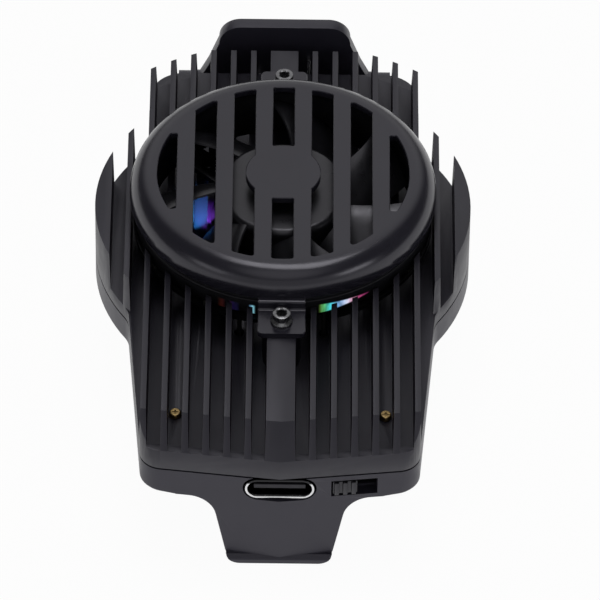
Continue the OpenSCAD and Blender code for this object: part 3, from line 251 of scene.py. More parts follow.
class Finish:
    """A material written as a short list of steps on a Principled shader."""

    def __init__(self, name, colour, rough, metallic=0.0, specular=0.5):
        self.mat = bpy.data.materials.new(name)
        self.mat.use_nodes = True
        self.nodes = self.mat.node_tree.nodes
        self.links = self.mat.node_tree.links
        self.shader = self.nodes["Principled BSDF"]
        self.shader.inputs["Base Color"].default_value = (*colour, 1)
        self.shader.inputs["Roughness"].default_value = rough
        self.shader.inputs["Metallic"].default_value = metallic
        self.shader.inputs["Specular IOR Level"].default_value = specular
        self.shader.inputs["Specular Tint"].default_value = (*SHEEN_TINT, 1)
        self.place = self.nodes.new("ShaderNodeTexCoord").outputs["Object"]
        self.colour = None
        self.normal = None

    def number(self, operation, *values):
        node = self.nodes.new("ShaderNodeMath")
        node.operation = operation
        for socket, value in zip(node.inputs, values):
            if isinstance(value, (int, float)):
                socket.default_value = value
            else:
                self.links.new(value, socket)
        return node.outputs[0]

    def range(self, fac, from_low, from_high, to_low, to_high):
        rng = self.nodes.new("ShaderNodeMapRange")
        ends = {"From Min": from_low, "From Max": from_high, "To Min": to_low, "To Max": to_high}
        for key, value in ends.items():
            rng.inputs[key].default_value = value
        self.links.new(fac, rng.inputs["Value"])
        return rng.outputs["Result"]

    def axis(self, letter):
        split = self.nodes.new("ShaderNodeSeparateXYZ")
        self.links.new(self.place, split.inputs[0])
        return split.outputs[letter]

    def stretched(self, along):
        mapping = self.nodes.new("ShaderNodeMapping")
        mapping.inputs["Scale"].default_value = along
        self.links.new(self.place, mapping.inputs["Vector"])
        return mapping.outputs["Vector"]

    def cloud(self, size, detail=3.0, along=None):
        noise = self.nodes.new("ShaderNodeTexNoise")
        noise.inputs["Scale"].default_value = 1 / size
        noise.inputs["Detail"].default_value = detail
        self.links.new(self.stretched(along) if along else self.place, noise.inputs["Vector"])
        return noise.outputs["Fac"]

    def cells(self, size):
        cells = self.nodes.new("ShaderNodeTexVoronoi")
        cells.inputs["Scale"].default_value = 1 / size
        self.links.new(self.place, cells.inputs["Vector"])
        return cells.outputs["Distance"]

    def edges(self, width):
        """A mask of the edges: where a rounded normal leaves the true one."""
        soft = self.nodes.new("ShaderNodeBevel")
        soft.samples = 4
        soft.inputs["Radius"].default_value = width
        true = self.nodes.new("ShaderNodeNewGeometry")
        dot = self.nodes.new("ShaderNodeVectorMath")
        dot.operation = "DOT_PRODUCT"
        self.links.new(soft.outputs[0], dot.inputs[0])
        self.links.new(true.outputs["Normal"], dot.inputs[1])
        return self.range(dot.outputs["Value"], 0.985, 0.85, 0.0, 1.0)

    def tint(self, fac, dark, light, low=0.3, high=0.7):
        ramp = self.nodes.new("ShaderNodeValToRGB")
        ramp.color_ramp.elements[0].position = low
        ramp.color_ramp.elements[0].color = (*dark, 1)
        ramp.color_ramp.elements[1].position = high
        ramp.color_ramp.elements[1].color = (*light, 1)
        self.links.new(fac, ramp.inputs["Fac"])
        self.colour = ramp.outputs["Color"]
        self.links.new(self.colour, self.shader.inputs["Base Color"])
        return self

    def over(self, fac, colour):
        """Lays another colour over the base where the mask says so."""
        mix = self.nodes.new("ShaderNodeMix")
        mix.data_type = "RGBA"
        self.links.new(fac, mix.inputs["Factor"])
        self.links.new(self.colour, mix.inputs["A"])
        mix.inputs["B"].default_value = (*colour, 1)
        self.colour = mix.outputs["Result"]
        self.links.new(self.colour, self.shader.inputs["Base Color"])
        return self

    # Painted highlight along the edges, in patches: a lighter colour laid where the edges turn
    def painted_edge_highlight(self, width, colour, amount):
        patchy = self.range(self.cloud(0.7 * MM, 3), 0.4, 0.65, 0.3 * amount, amount)
        return self.over(self.number("MULTIPLY", self.edges(width), patchy), colour)

    def sheen(self, fac, low, high):
        self.links.new(self.range(fac, 0.3, 0.7, low, high), self.shader.inputs["Roughness"])
        return self

    def relief(self, fac, depth):
        bump = self.nodes.new("ShaderNodeBump")
        bump.inputs["Strength"].default_value = 1.0
        bump.inputs["Distance"].default_value = depth
        self.links.new(fac, bump.inputs["Height"])
        if self.normal is not None:
            self.links.new(self.normal, bump.inputs["Normal"])
        self.normal = bump.outputs["Normal"]
        self.links.new(self.normal, self.shader.inputs["Normal"])
        return self


# Lighter black for the painted edge highlight on the edges
EDGE_HIGHLIGHT_BLACK = (0.055, 0.054, 0.060)


def black_casting():
    f = Finish("sink_black", (0.014, 0.0132, 0.0195), 0.42, specular=0.45)
    f.tint(f.cloud(5.0 * MM), (0.0125, 0.0118, 0.0175), (0.0155, 0.0146, 0.0215))
    f.painted_edge_highlight(0.16 * MM, EDGE_HIGHLIGHT_BLACK, 0.55)
    f.sheen(f.cloud(1.2 * MM, 4, (1, 0.25, 1)), 0.40, 0.46)
    return f.relief(f.cloud(0.13 * MM, 2), 0.0012 * MM).mat


def case_plastic():
    f = Finish("case_black", (0.018, 0.0168, 0.026), 0.42)
    f.tint(f.cloud(6.0 * MM), (0.0168, 0.0157, 0.0245), (0.0192, 0.0179, 0.0275))
    f.painted_edge_highlight(0.2 * MM, EDGE_HIGHLIGHT_BLACK, 0.4)
    f.sheen(f.cloud(1.5 * MM), 0.40, 0.46)
    return f.relief(f.cells(0.14 * MM), 0.0016 * MM).mat


def cover_lacquer():
    f = Finish("cover_black", (0.014, 0.0132, 0.0195), 0.22)
    f.tint(f.cloud(7.0 * MM), (0.013, 0.0122, 0.018), (0.015, 0.0142, 0.021))
    f.painted_edge_highlight(0.14 * MM, EDGE_HIGHLIGHT_BLACK, 0.35)
    f.sheen(f.cloud(1.4 * MM), 0.19, 0.24)
    return f.relief(f.cloud(0.5 * MM, 1), 0.0006 * MM).mat


def fan_plastic(name, rough, dark=(0.010, 0.0098, 0.012), light=(0.014, 0.0136, 0.0165), specular=0.5):
    f = Finish(name, light, rough, specular=specular)
    f.tint(f.cloud(3.5 * MM), dark, light)
    f.painted_edge_highlight(0.12 * MM, light, 0.3)
    f.sheen(f.cloud(1.0 * MM), rough - 0.03, rough + 0.05)
    return f.relief(f.cloud(0.2 * MM, 2), 0.001 * MM).mat


def bright_metal(name, dark, light, rough, grain=(1, 1, 1)):
    f = Finish(name, light, rough, metallic=1.0)
    f.tint(f.cloud(0.8 * MM, 3, grain), dark, light)
    f.sheen(f.cloud(0.4 * MM, 4, grain), rough * 0.8, rough * 1.2)
    return f.relief(f.cloud(0.1 * MM, 2, grain), 0.0006 * MM).mat


def black_screws():
    """Blackened steel, with painted shade where it sits deep in the fan below the fin tops."""
    f = Finish("screw_black", (0.24, 0.24, 0.25), 0.26, metallic=1.0)
    f.tint(f.cloud(0.8 * MM), (0.13, 0.13, 0.135), (0.24, 0.24, 0.25))
    # Painted shade: nearly black below the fin tops, deep in the fan
    f.over(f.range(f.axis("Z"), FIN_TOP + 0.1 * MM, FIN_TOP - 0.2 * MM, 0, 1), (0.012, 0.012, 0.013))
    f.sheen(f.cloud(0.4 * MM, 4), 0.21, 0.31)
    return f.relief(f.cloud(0.1 * MM, 2), 0.0006 * MM).mat


SOCKET_INSET = 0.05 * MM
SOCKET_LIT = 0.95 * MM
TONGUE_REACH = 0.7 * MM


def drawn_steel():
    """Bright at the surface, with painted shade in the depth of the socket behind the front face and a
    painted shadow on the front rim above the lit level.
    """
    f = Finish("steel", (0.75, 0.75, 0.76), 0.22, metallic=1.0)
    f.tint(f.cloud(0.8 * MM), (0.66, 0.66, 0.67), (0.78, 0.78, 0.79))
    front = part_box("usb_shell")[0].y + SOCKET_INSET
    # Painted shade inside the socket, behind the front rim
    inside = f.number("MULTIPLY", f.range(f.axis("Y"), front + 0.15 * MM, front + 0.5 * MM, 0, 1),
                      f.range(f.axis("Y"), front + 7.6 * MM, front + 7.5 * MM, 0, 1))
    f.over(inside, (0.035, 0.035, 0.037))
    low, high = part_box("usb_shell")
    lit_to = (low.z + high.z) / 2 + SOCKET_LIT
    # Painted shadow on the front rim above the lit level
    shadowed_upper_rim = f.number("MULTIPLY", f.range(f.axis("Y"), front + 0.6 * MM, front + 0.4 * MM, 0, 1),
                         f.range(f.axis("Z"), lit_to - 0.1 * MM, lit_to + 0.1 * MM, 0, 1))
    f.over(shadowed_upper_rim, (0.035, 0.035, 0.037))
    f.sheen(f.cloud(0.4 * MM, 4), 0.18, 0.28)
    return f.relief(f.cloud(0.1 * MM, 2), 0.0005 * MM).mat


def soft_stuff(name, dark, light, rough, size, depth):
    f = Finish(name, light, rough, specular=0.3)
    f.tint(f.cloud(size * 3), dark, light)
    f.sheen(f.cloud(size * 6), rough - 0.06, rough + 0.04)
    return f.relief(f.cells(size), depth).mat


def board_resin(name, dark, light):
    f = Finish(name, light, 0.35)
    f.tint(f.cloud(1.1 * MM, 1, (1, 0.2, 1)), dark, light, 0.46, 0.54)
    f.sheen(f.cloud(0.6 * MM), 0.28, 0.42)
    return f.relief(f.cloud(0.7 * MM, 1, (1, 0.2, 1)), 0.01 * MM).mat


# Glow of the ring: start and end in degrees from the front, share of the light; outside these patches
# the glow is left out as painted shade under the cover's rim
GLOW_PATCHES = [(14.6, 35.0, 1.0), (-12.0, -10.6, 0.8), (-20.0, -16.8, 0.03), (-24.6, -22.4, 0.02)]
# Hue by angle
GLOW_HUES = [(-25, (1.0, 0.20, 0.05)), (-21, (0.9, 0.10, 0.20)), (-19, (0.25, 0.12, 1.0)),
             (-14, (0.2, 0.3, 1.0)), (-11, (0.35, 0.85, 1.0)), (12, (0.10, 0.08, 0.02)),
             (14.5, (0.10, 0.20, 0.03)), (16.5, (0.12, 0.62, 0.22)), (18.7, (0.08, 0.75, 0.85)),
             (22, (0.25, 0.55, 1.0)), (25.5, (0.75, 0.80, 1.0)), (27.5, (0.95, 0.50, 0.72)),
             (30.5, (0.50, 0.07, 0.22)), (35, (0.15, 0.01, 0.07))]
GLOW_STRENGTH = 0.9


def smoked_ring_with_painted_shade():
    """Smoke-black ring that glows in short patches, its hue running round with the angle; the dark rest
    of the ring and the narrowing of the band are painted shade under the cover's rim.
    """
    f = Finish("ring_clear", (0.008, 0.008, 0.009), 0.4, specular=0.2)
    f.tint(f.cloud(2.0 * MM), (0.006, 0.006, 0.007), (0.010, 0.010, 0.012))
    f.sheen(f.cloud(0.8 * MM), 0.35, 0.45)
    angle = f.number("ARCTAN2", f.axis("X"), f.number("MULTIPLY", f.axis("Y"), -1.0))
    degrees = f.number("DEGREES", angle)
    total = None
    for start, end, share in GLOW_PATCHES:
        rise = f.range(degrees, start - 0.6, start + 0.6, 0.0, share)
        fall = f.range(degrees, end - 0.6, end + 0.6, 1.0, 0.0)
        patch = f.number("MULTIPLY", rise, fall)
        total = patch if total is None else f.number("ADD", total, patch)
    # The glowing band narrows with the angle: painted shadow of the cover's rim over part of the ring
    middle = f.range(degrees, 12, 35, RING_LOW.z + 0.75 * MM, RING_LOW.z + 1.15 * MM)
    half = f.range(degrees, 14, 35, 0.80 * MM, 0.06 * MM)
    away = f.number("ABSOLUTE", f.number("SUBTRACT", f.axis("Z"), middle))
    inside = f.range(f.number("SUBTRACT", half, away), -0.08 * MM, 0.12 * MM, 0.0, 1.0)
    hue = f.nodes.new("ShaderNodeValToRGB")
    stops = hue.color_ramp.elements
    while len(stops) < len(GLOW_HUES):
        stops.new(0.5)
    for stop, (at, colour) in zip(stops, GLOW_HUES):
        stop.position = (at + 30) / 70
        stop.color = (*colour, 1)
    f.links.new(f.range(degrees, -30, 40, 0, 1), hue.inputs["Fac"])
    f.links.new(hue.outputs["Color"], f.shader.inputs["Emission Color"])
    streaks = f.range(f.cloud(0.5 * MM, 2, (1, 1, 0.3)), 0.35, 0.6, 0.5, 1.0)
    glow = f.number("MULTIPLY", f.number("MULTIPLY", total, inside), streaks)
    f.links.new(f.number("MULTIPLY", glow, GLOW_STRENGTH), f.shader.inputs["Emission Strength"])
    return f.relief(f.cloud(0.4 * MM, 1), 0.002 * MM).mat


def shaded_chip():
    # LED chips coloured dark grey: painted shade where they sit deep in the pocket round the fan
    f = Finish("led", (0.05, 0.05, 0.045), 0.4, specular=0.2)
    f.tint(f.cloud(0.4 * MM), (0.02, 0.02, 0.018), (0.06, 0.06, 0.05))
    f.sheen(f.cloud(0.3 * MM), 0.35, 0.5)
    return f.mat


FINISHES = {
    "sink_black": black_casting(),
    "case_black": case_plastic(),
    "cover_black": cover_lacquer(),
    "fan_black": fan_plastic("fan_black", 0.5, (0.005, 0.005, 0.006), (0.008, 0.008, 0.0095), 0.25),
    "rotor_black": fan_plastic("rotor_black", 0.30, (0.007, 0.007, 0.0085), (0.010, 0.0098, 0.012)),
    "knob_black": fan_plastic("knob_black", 0.36),
    "chip_black": fan_plastic("chip_black", 0.5),
    "ring_clear": smoked_ring_with_painted_shade(),
    "screw_black": black_screws(),
    "steel": drawn_steel(),
    "board_green": board_resin("board_green", (0.01, 0.07, 0.03), (0.02, 0.13, 0.06)),
    "board_black": board_resin("board_black", (0.006, 0.006, 0.007), (0.010, 0.010, 0.011)),
    "led": shaded_chip(),
}
# Name, dark, light, roughness and grain
METALS = [
    ("screw_brass", (0.26, 0.18, 0.07), (0.45, 0.32, 0.15), 0.36),
    ("plate_aluminium", (0.7, 0.71, 0.73), (0.84, 0.85, 0.87), 0.32, (1, 0.05, 1)),
    ("pellet", (0.35, 0.35, 0.38), (0.55, 0.55, 0.58), 0.45),
    ("contact_gold", (0.75, 0.5, 0.18), (0.95, 0.7, 0.3), 0.22),
    ("copper", (0.5, 0.2, 0.09), (0.8, 0.38, 0.2), 0.3, (0.2, 1, 1)),
    ("bronze", (0.4, 0.26, 0.12), (0.58, 0.4, 0.2), 0.4),
    ("magnet", (0.06, 0.06, 0.065), (0.12, 0.12, 0.125), 0.55),
]
# Name, dark, light, roughness, size and depth of the cells
SOFT = [
    ("ceramic", (0.82, 0.82, 0.8), (0.9, 0.9, 0.88), 0.5, 0.3 * MM, 0.002 * MM),
    ("pad_grey", (0.42, 0.44, 0.48), (0.5, 0.52, 0.56), 0.75, 0.35 * MM, 0.01 * MM),
    ("pad_rubber", (0.02, 0.02, 0.02), (0.035, 0.035, 0.035), 0.7, 0.3 * MM, 0.01 * MM),
    ("foam", (0.03, 0.03, 0.03), (0.08, 0.08, 0.08), 0.95, 0.4 * MM, 0.06 * MM),
    ("wire_black", (0.015, 0.015, 0.015), (0.025, 0.025, 0.025), 0.5, 0.3 * MM, 0.004 * MM),
    ("wire_red", (0.3, 0.02, 0.015), (0.42, 0.03, 0.02), 0.45, 0.3 * MM, 0.004 * MM),
]
FINISHES.update({row[0]: bright_metal(*row) for row in METALS})
FINISHES.update({row[0]: soft_stuff(*row) for row in SOFT})


def dress_frame():
    for name, node in NODES.items():
        node.data.materials.clear()
        node.data.materials.append(FINISHES[SLOT_OF[name]])


# Geometry Nodes

class Tree:
    """A Geometry Nodes tree with named inputs, which grows a mesh from a seed mesh."""

    def __init__(self, name, **inputs):
        self.tree = bpy.data.node_groups.new(name, "GeometryNodeTree")
        self.ids = {}
        face = self.tree.interface
        face.new_socket("Seed", in_out="INPUT", socket_type="NodeSocketGeometry")
        face.new_socket("Piece", in_out="OUTPUT", socket_type="NodeSocketGeometry")
        for key, kind in {**inputs, "Finish": "Material"}.items():
            socket = face.new_socket(key, in_out="INPUT", socket_type="NodeSocket" + kind)
            self.ids[key] = socket.identifier
        self.start = self.tree.nodes.new("NodeGroupInput")
        self.given = self.start.outputs

    def node(self, kind, links=None, **settings):
        node = self.tree.nodes.new(kind)
        for key, value in settings.items():
            setattr(node, key, value)
        for key, value in (links or {}).items():
            self.feed(node.inputs[key], value)
        return node

    def feed(self, socket, value):
        if isinstance(value, bpy.types.NodeSocket):
            self.tree.links.new(value, socket)
        else:
            socket.default_value = value

    def math(self, operation, *values):
        node = self.node("ShaderNodeMath", operation=operation)
        for socket, value in zip(node.inputs, values):
            self.feed(socket, value)
        return node.outputs[0]

    def close(self, geometry):
        real = self.node("GeometryNodeRealizeInstances", {"Geometry": geometry})
        dressed = self.node("GeometryNodeSetMaterial", {
            "Geometry": real.outputs[0], "Material": self.given["Finish"]})
        end = self.tree.nodes.new("NodeGroupOutput")
        self.tree.links.new(dressed.outputs[0], end.inputs["Piece"])
        return self

    def grow(self, name, seed, slot, **values):
        """Runs the tree on a seed mesh once and gives back a plain mesh."""
        carrier = bpy.data.objects.new(name, seed)
        bpy.context.scene.collection.objects.link(carrier)
        run = carrier.modifiers.new(name, "NODES")
        run.node_group = self.tree
        run[self.ids["Finish"]] = FINISHES[slot]
        for key, value in values.items():
            run[self.ids[key]] = value
        graph = bpy.context.evaluated_depsgraph_get()
        mesh = bpy.data.meshes.new_from_object(carrier.evaluated_get(graph))
        carrier.modifiers.remove(run)
        bpy.data.objects.remove(carrier)
        return mesh


def rows_tree():
    """Repeats the seed in columns and rows about a centre."""
    t = Tree("rows", Columns="Int", Rows="Int", Across="Float", Along="Float", Centre="Vector")
    count = t.math("MULTIPLY", t.given["Columns"], t.given["Rows"])
    index = t.node("GeometryNodeInputIndex").outputs[0]
    row = t.math("FLOOR", t.math("DIVIDE", t.math("ADD", index, 0.5), t.given["Columns"]))
    column = t.math("SUBTRACT", index, t.math("MULTIPLY", row, t.given["Columns"]))

    def spaced(place, number, step):
        middle = t.math("MULTIPLY", t.math("SUBTRACT", number, 1.0), 0.5)
        return t.math("MULTIPLY", t.math("SUBTRACT", place, middle), step)

    spot = t.node("ShaderNodeCombineXYZ", {
        "X": spaced(column, t.given["Columns"], t.given["Across"]),
        "Y": spaced(row, t.given["Rows"], t.given["Along"])})
    moved = t.node("ShaderNodeVectorMath", operation="ADD")
    t.feed(moved.inputs[0], spot.outputs[0])
    t.feed(moved.inputs[1], t.given["Centre"])
    points = t.node("GeometryNodePoints", {"Count": count, "Position": moved.outputs[0]})
    copies = t.node("GeometryNodeInstanceOnPoints", {
        "Points": points.outputs[0], "Instance": t.given["Seed"]})
    return t.close(copies.outputs[0])


def round_tree():
    """Repeats the seed round the Z axis, turned with the angle."""
    t = Tree("round", Number="Int", Start="Float")
    index = t.node("GeometryNodeInputIndex").outputs[0]
    step = t.math("DIVIDE", math.tau, t.given["Number"])
    angle = t.math("MULTIPLY_ADD", index, step, t.given["Start"])
    turn = t.node("ShaderNodeCombineXYZ", {"Z": angle})
    rotation = t.node("FunctionNodeEulerToRotation", {"Euler": turn.outputs[0]})
    points = t.node("GeometryNodePoints", {"Count": t.given["Number"]})
    copies = t.node("GeometryNodeInstanceOnPoints", {
        "Points": points.outputs[0], "Instance": t.given["Seed"], "Rotation": rotation.outputs[0]})
    return t.close(copies.outputs[0])


def wire_tree():
    """Draws a round wire along the seed's lines."""
    t = Tree("wire", Radius="Float", Sides="Int")
    path = t.node("GeometryNodeMeshToCurve", {"Mesh": t.given["Seed"]})
    section = t.node("GeometryNodeCurvePrimitiveCircle", {
        "Resolution": t.given["Sides"], "Radius": t.given["Radius"]})
    wire = t.node("GeometryNodeCurveToMesh", {
        "Curve": path.outputs[0], "Profile Curve": section.outputs[0], "Fill Caps": True})
    return t.close(wire.outputs[0])


SHELL, LUG, CUTTER = 0, 1, 2


def cover_tree():
    """Joins a shell and its lugs, then cuts away the cutters, lifted to the given level."""
    t = Tree("cover", Level="Float")
    part = t.node("GeometryNodeInputNamedAttribute", {"Name": "part"}, data_type="INT")

    def only(number):
        same = t.node("FunctionNodeCompare", data_type="INT", operation="EQUAL")
        ints = [s for s in same.inputs if s.type == "INT"]
        t.feed(ints[0], part.outputs["Attribute"])
        t.feed(ints[1], number)
        kept = t.node("GeometryNodeSeparateGeometry", {
            "Geometry": t.given["Seed"], "Selection": same.outputs[0]}, domain="FACE")
        return kept.outputs["Selection"]

    lift = t.node("ShaderNodeCombineXYZ", {"Z": t.given["Level"]})
    cutters = t.node("GeometryNodeTransform", {"Geometry": only(CUTTER), "Translation": lift.outputs[0]})
    body = t.node("GeometryNodeMeshBoolean", operation="UNION", solver="EXACT")
    t.feed(body.inputs["Mesh 2"], only(SHELL))
    t.feed(body.inputs["Mesh 2"], only(LUG))
    cut = t.node("GeometryNodeMeshBoolean", operation="DIFFERENCE", solver="EXACT")
    t.feed(cut.inputs["Mesh 1"], body.outputs["Mesh"])
    t.feed(cut.inputs["Mesh 2"], cutters.outputs[0])
    return t.close(cut.outputs["Mesh"])


# Ways to make a mesh

def plain_mesh(bm, name):
    mesh = bpy.data.meshes.new(name)
    bm.to_mesh(mesh)
    bm.free()
    return mesh


def meshed(bm, name):
    bmesh.ops.recalc_face_normals(bm, faces=bm.faces)
    return plain_mesh(bm, name)


def spread(start, end, steps):
    return [start + (end - start) * k / steps for k in range(steps + 1)]


def arc(radius, start, end, steps, centre=(0, 0)):
    return [Vector((centre[0] + radius * math.cos(a), centre[1] + radius * math.sin(a)))
            for a in spread(start, end, steps)]


def round_off(points, radius, steps=4, turn_from=math.radians(25)):
    """Rounds the sharp corners of a closed outline; gentle turns stay as they are."""
    count = len(points)
    gone, corners = set(), {}
    for i, corner in enumerate(points):
        before = (corner - points[i - 1]).normalized()
        after = (points[(i + 1) % count] - corner).normalized()
        turn = before.angle(after, 0.0)
        if turn < turn_from:
            continue
        ends = []
        for step in (-1, 1):
            left = radius * math.tan(min(turn, 2.6) / 2)
            k = i
            while True:
                here, there = points[k % count], points[(k + step) % count]
                length = (there - here).length
                if length > left:
                    ends.append(here.lerp(there, left / length))
                    break
                left -= length
                k += step
                gone.add(k % count)
        corners[i] = ends
    out = []
    for i, point in enumerate(points):
        if i in corners:
            first, last = corners[i]
            for s in spread(0, 1, steps):
                out.append(first.lerp(point, s).lerp(point.lerp(last, s), s))
        elif i not in gone:
            out.append(point)
    return out


def grown_out(points, distance):
    """An outline moved out along its own normals, for a chamfer."""
    count = len(points)
    area = sum(a.x * b.y - b.x * a.y for a, b in zip(points, points[1:] + points[:1]))
    side = 1 if area > 0 else -1
    out = []
    for i, p in enumerate(points):
        along = (points[(i + 1) % count] - points[i - 1]).normalized()
        out.append(p + Vector((along.y, -along.x)) * distance * side)
    return out


def loft(bm, rings, caps=True):
    """Joins rings of corners by faces; the first and last are capped."""
    made = [[bm.verts.new(p) for p in ring] for ring in rings]
    faces = []
    for low, high in zip(made, made[1:]):
        for k in range(len(low)):
            n = (k + 1) % len(low)
            faces.append(bm.faces.new((low[k], low[n], high[n], high[k])))
    if caps:
        faces.append(bm.faces.new(list(reversed(made[0]))))
        faces.append(bm.faces.new(made[-1]))
    return faces


def lathe(bm, profile, steps, caps=True):
    """Turns (radius, height) points about Z; open ends are closed by flat discs."""
    angles = [math.tau * k / steps for k in range(steps)]
    rings = [[(r * math.cos(a), r * math.sin(a), z) for a in angles] for r, z in profile]
    if not caps:
        rings.append(rings[0])
    faces = loft(bm, rings, caps)
    bmesh.ops.remove_doubles(bm, verts=bm.verts, dist=1e-7)
    return faces


def smooth(mesh, degrees=35):
    for face in mesh.polygons:
        face.use_smooth = True
    mesh.set_sharp_from_angle(angle=math.radians(degrees))


def stand_in(name, mesh, node, *others):
    """A finished mesh as the piece that stands for a CAD node."""
    piece = bpy.data.objects.new(name, mesh)
    bpy.context.scene.collection.objects.link(piece)
    mesh.materials.clear()
    mesh.materials.append(FINISHES[SLOT_OF[node]])
    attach(piece, BODY_OF[node])
    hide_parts(node, *others)
    return piece


def grown_piece(tree, name, seed, node, degrees, **values):
    """Grows a mesh by a tree and puts it in a CAD node's place."""
    mesh = tree.grow(name, seed, SLOT_OF[node], **values)
    if degrees:
        smooth(mesh, degrees)
    return stand_in(name, mesh, node)


def joined_copy(node):
    """The CAD node's triangles, joined at their edges and with flat faces made whole."""
    bm = bmesh.new()
    bm.from_mesh(NODES[node].data)
    bmesh.ops.remove_doubles(bm, verts=bm.verts, dist=0.0005 * MM)
    bmesh.ops.dissolve_limit(bm, angle_limit=math.radians(0.4), verts=bm.verts, edges=bm.edges)
    return bm


EASED_FROM = math.radians(28)


def eased(piece, edge, steps=2):
    """Rounds the sharp edges of a piece by a modifier."""
    for face in piece.data.polygons:
        face.use_smooth = True
    bevel = piece.modifiers.new("eased_edges", "BEVEL")
    bevel.limit_method = "ANGLE"
    bevel.angle_limit = EASED_FROM
    bevel.width = edge
    bevel.segments = steps
    bevel.harden_normals = True
    bevel.use_clamp_overlap = True
    bevel.miter_outer = "MITER_ARC"
    return piece


def eased_copy(node, name, edge, steps=2, front_by=0.0):
    """A copy of a CAD node with eased edges; its front face may be moved along Y."""
    bm = joined_copy(node)
    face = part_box(node)[0].y
    for vert in bm.verts:
        if front_by and vert.co.y < face + 0.02 * MM:
            vert.co.y += front_by
    return eased(stand_in(name, plain_mesh(bm, name), node), edge, steps)


# Pieces

COVER_THICK = 0.9 * MM
FLAT_RADIUS = 17.0 * MM
SHOULDER = COVER_HIGH.x - FLAT_RADIUS
SKIRT_LOW = RING_HIGH.z + 0.8 * MM
RIM_ROUND = 0.25 * MM
SLOT_WIDTH = 2.84 * MM
SLOT_PITCH = 5.15 * MM
SLOT_FIELD = 16.6 * MM
SLOT_CORNER = 0.40 * MM
SLOT_END = 7.3 * MM
HUB_DISC = 4.95 * MM
HUB_BRIDGE = 5.05 * MM
LUG_THICK = 0.8 * MM
LUG_HALF = 3.1 * MM
LUG_CORNER = 0.6 * MM
LUG_SCREW = 23.1 * MM
LUG_FACE = 20.9 * MM
LUG_THIN = 0.35 * MM
LUG_HOLE = 1.05 * MM
# Heights and widenings of a cutter in mm: a small chamfer at the top
CUT_STEPS = ((0.3, 0.4), (0, 0.1), (-0.1, 0), (-1.5, 0))


def strip_slot(inner, outer):
    """A strip of the round field between two distances from the middle line."""
    low, high = math.acos(min(outer / SLOT_FIELD, 1.0)), math.acos(inner / SLOT_FIELD)
    points = arc(SLOT_FIELD, -high, -low, 8) + arc(SLOT_FIELD, low, high, 8)
    if outer >= SLOT_FIELD:
        cut = math.asin(SLOT_END / SLOT_FIELD)
        points = [Vector((inner, -SLOT_END)), *arc(SLOT_FIELD, -cut, cut, 30), Vector((inner, SLOT_END))]
    if inner < HUB_DISC:
        bite = math.acos(inner / HUB_DISC)
        points += arc(HUB_DISC, bite, -bite, 16)
    return points


def slot_outlines():
    half = SLOT_WIDTH / 2
    edge = math.acos(half / SLOT_FIELD)
    upper = [Vector((-half, HUB_BRIDGE)), Vector((half, HUB_BRIDGE))]
    upper += arc(SLOT_FIELD, edge, math.pi - edge, 8)
    right = [upper] + [strip_slot(k * SLOT_PITCH - half, k * SLOT_PITCH + half) for k in (1, 2, 3)]
    left = [[Vector((-p.x, -p.y)) for p in outline] for outline in right]
    return [round_off(outline, SLOT_CORNER) for outline in right + left]


def cover_lug(side):
    """Rings of a bent strip: out from the skirt's lower edge, down and out as a foot."""
    top = COVER_LOW.z + LUG_THICK
    end = COVER_HIGH.y
    step = SKIRT_LOW + LUG_THIN
    bend = 0.3 * MM
    path = [Vector((COVER_HIGH.x - 0.6 * COVER_THICK, step))]
    path += arc(bend, math.pi / 2, 0, 5, (LUG_FACE - bend, step - bend))
    thick = [LUG_THIN] * len(path)
    path += arc(bend, math.pi, 1.5 * math.pi, 5, (LUG_FACE + bend, top + bend))
    path += [Vector((end - LUG_CORNER * (1 - math.sin(a)), top)) for a in spread(0, math.pi / 2, 6)]
    thick += [LUG_THIN + (LUG_THICK - LUG_THIN) * k / 5 for k in range(6)]
    thick += [LUG_THICK] * (len(path) - len(thick))
    chamfer = 0.1 * MM
    rings = []
    for i, p in enumerate(path):
        along = (path[min(i + 1, len(path) - 1)] - path[max(i - 1, 0)]).normalized()
        under = Vector((along.y, -along.x))
        left = end - p.x
        half = LUG_HALF
        if left < LUG_CORNER:
            half -= LUG_CORNER - math.sqrt(max(LUG_CORNER ** 2 - (LUG_CORNER - left) ** 2, 0))
        ring = []
        deep = thick[i]
        flat = half - chamfer
        for x, depth in ((-flat, 0), (flat, 0), (half, chamfer), (half, deep - chamfer),
                         (flat, deep), (-flat, deep), (-half, deep - chamfer), (-half, chamfer)):
            q = p + under * depth
            ring.append((x * side, q.x * side, q.y))
        rings.append(ring)
    return rings


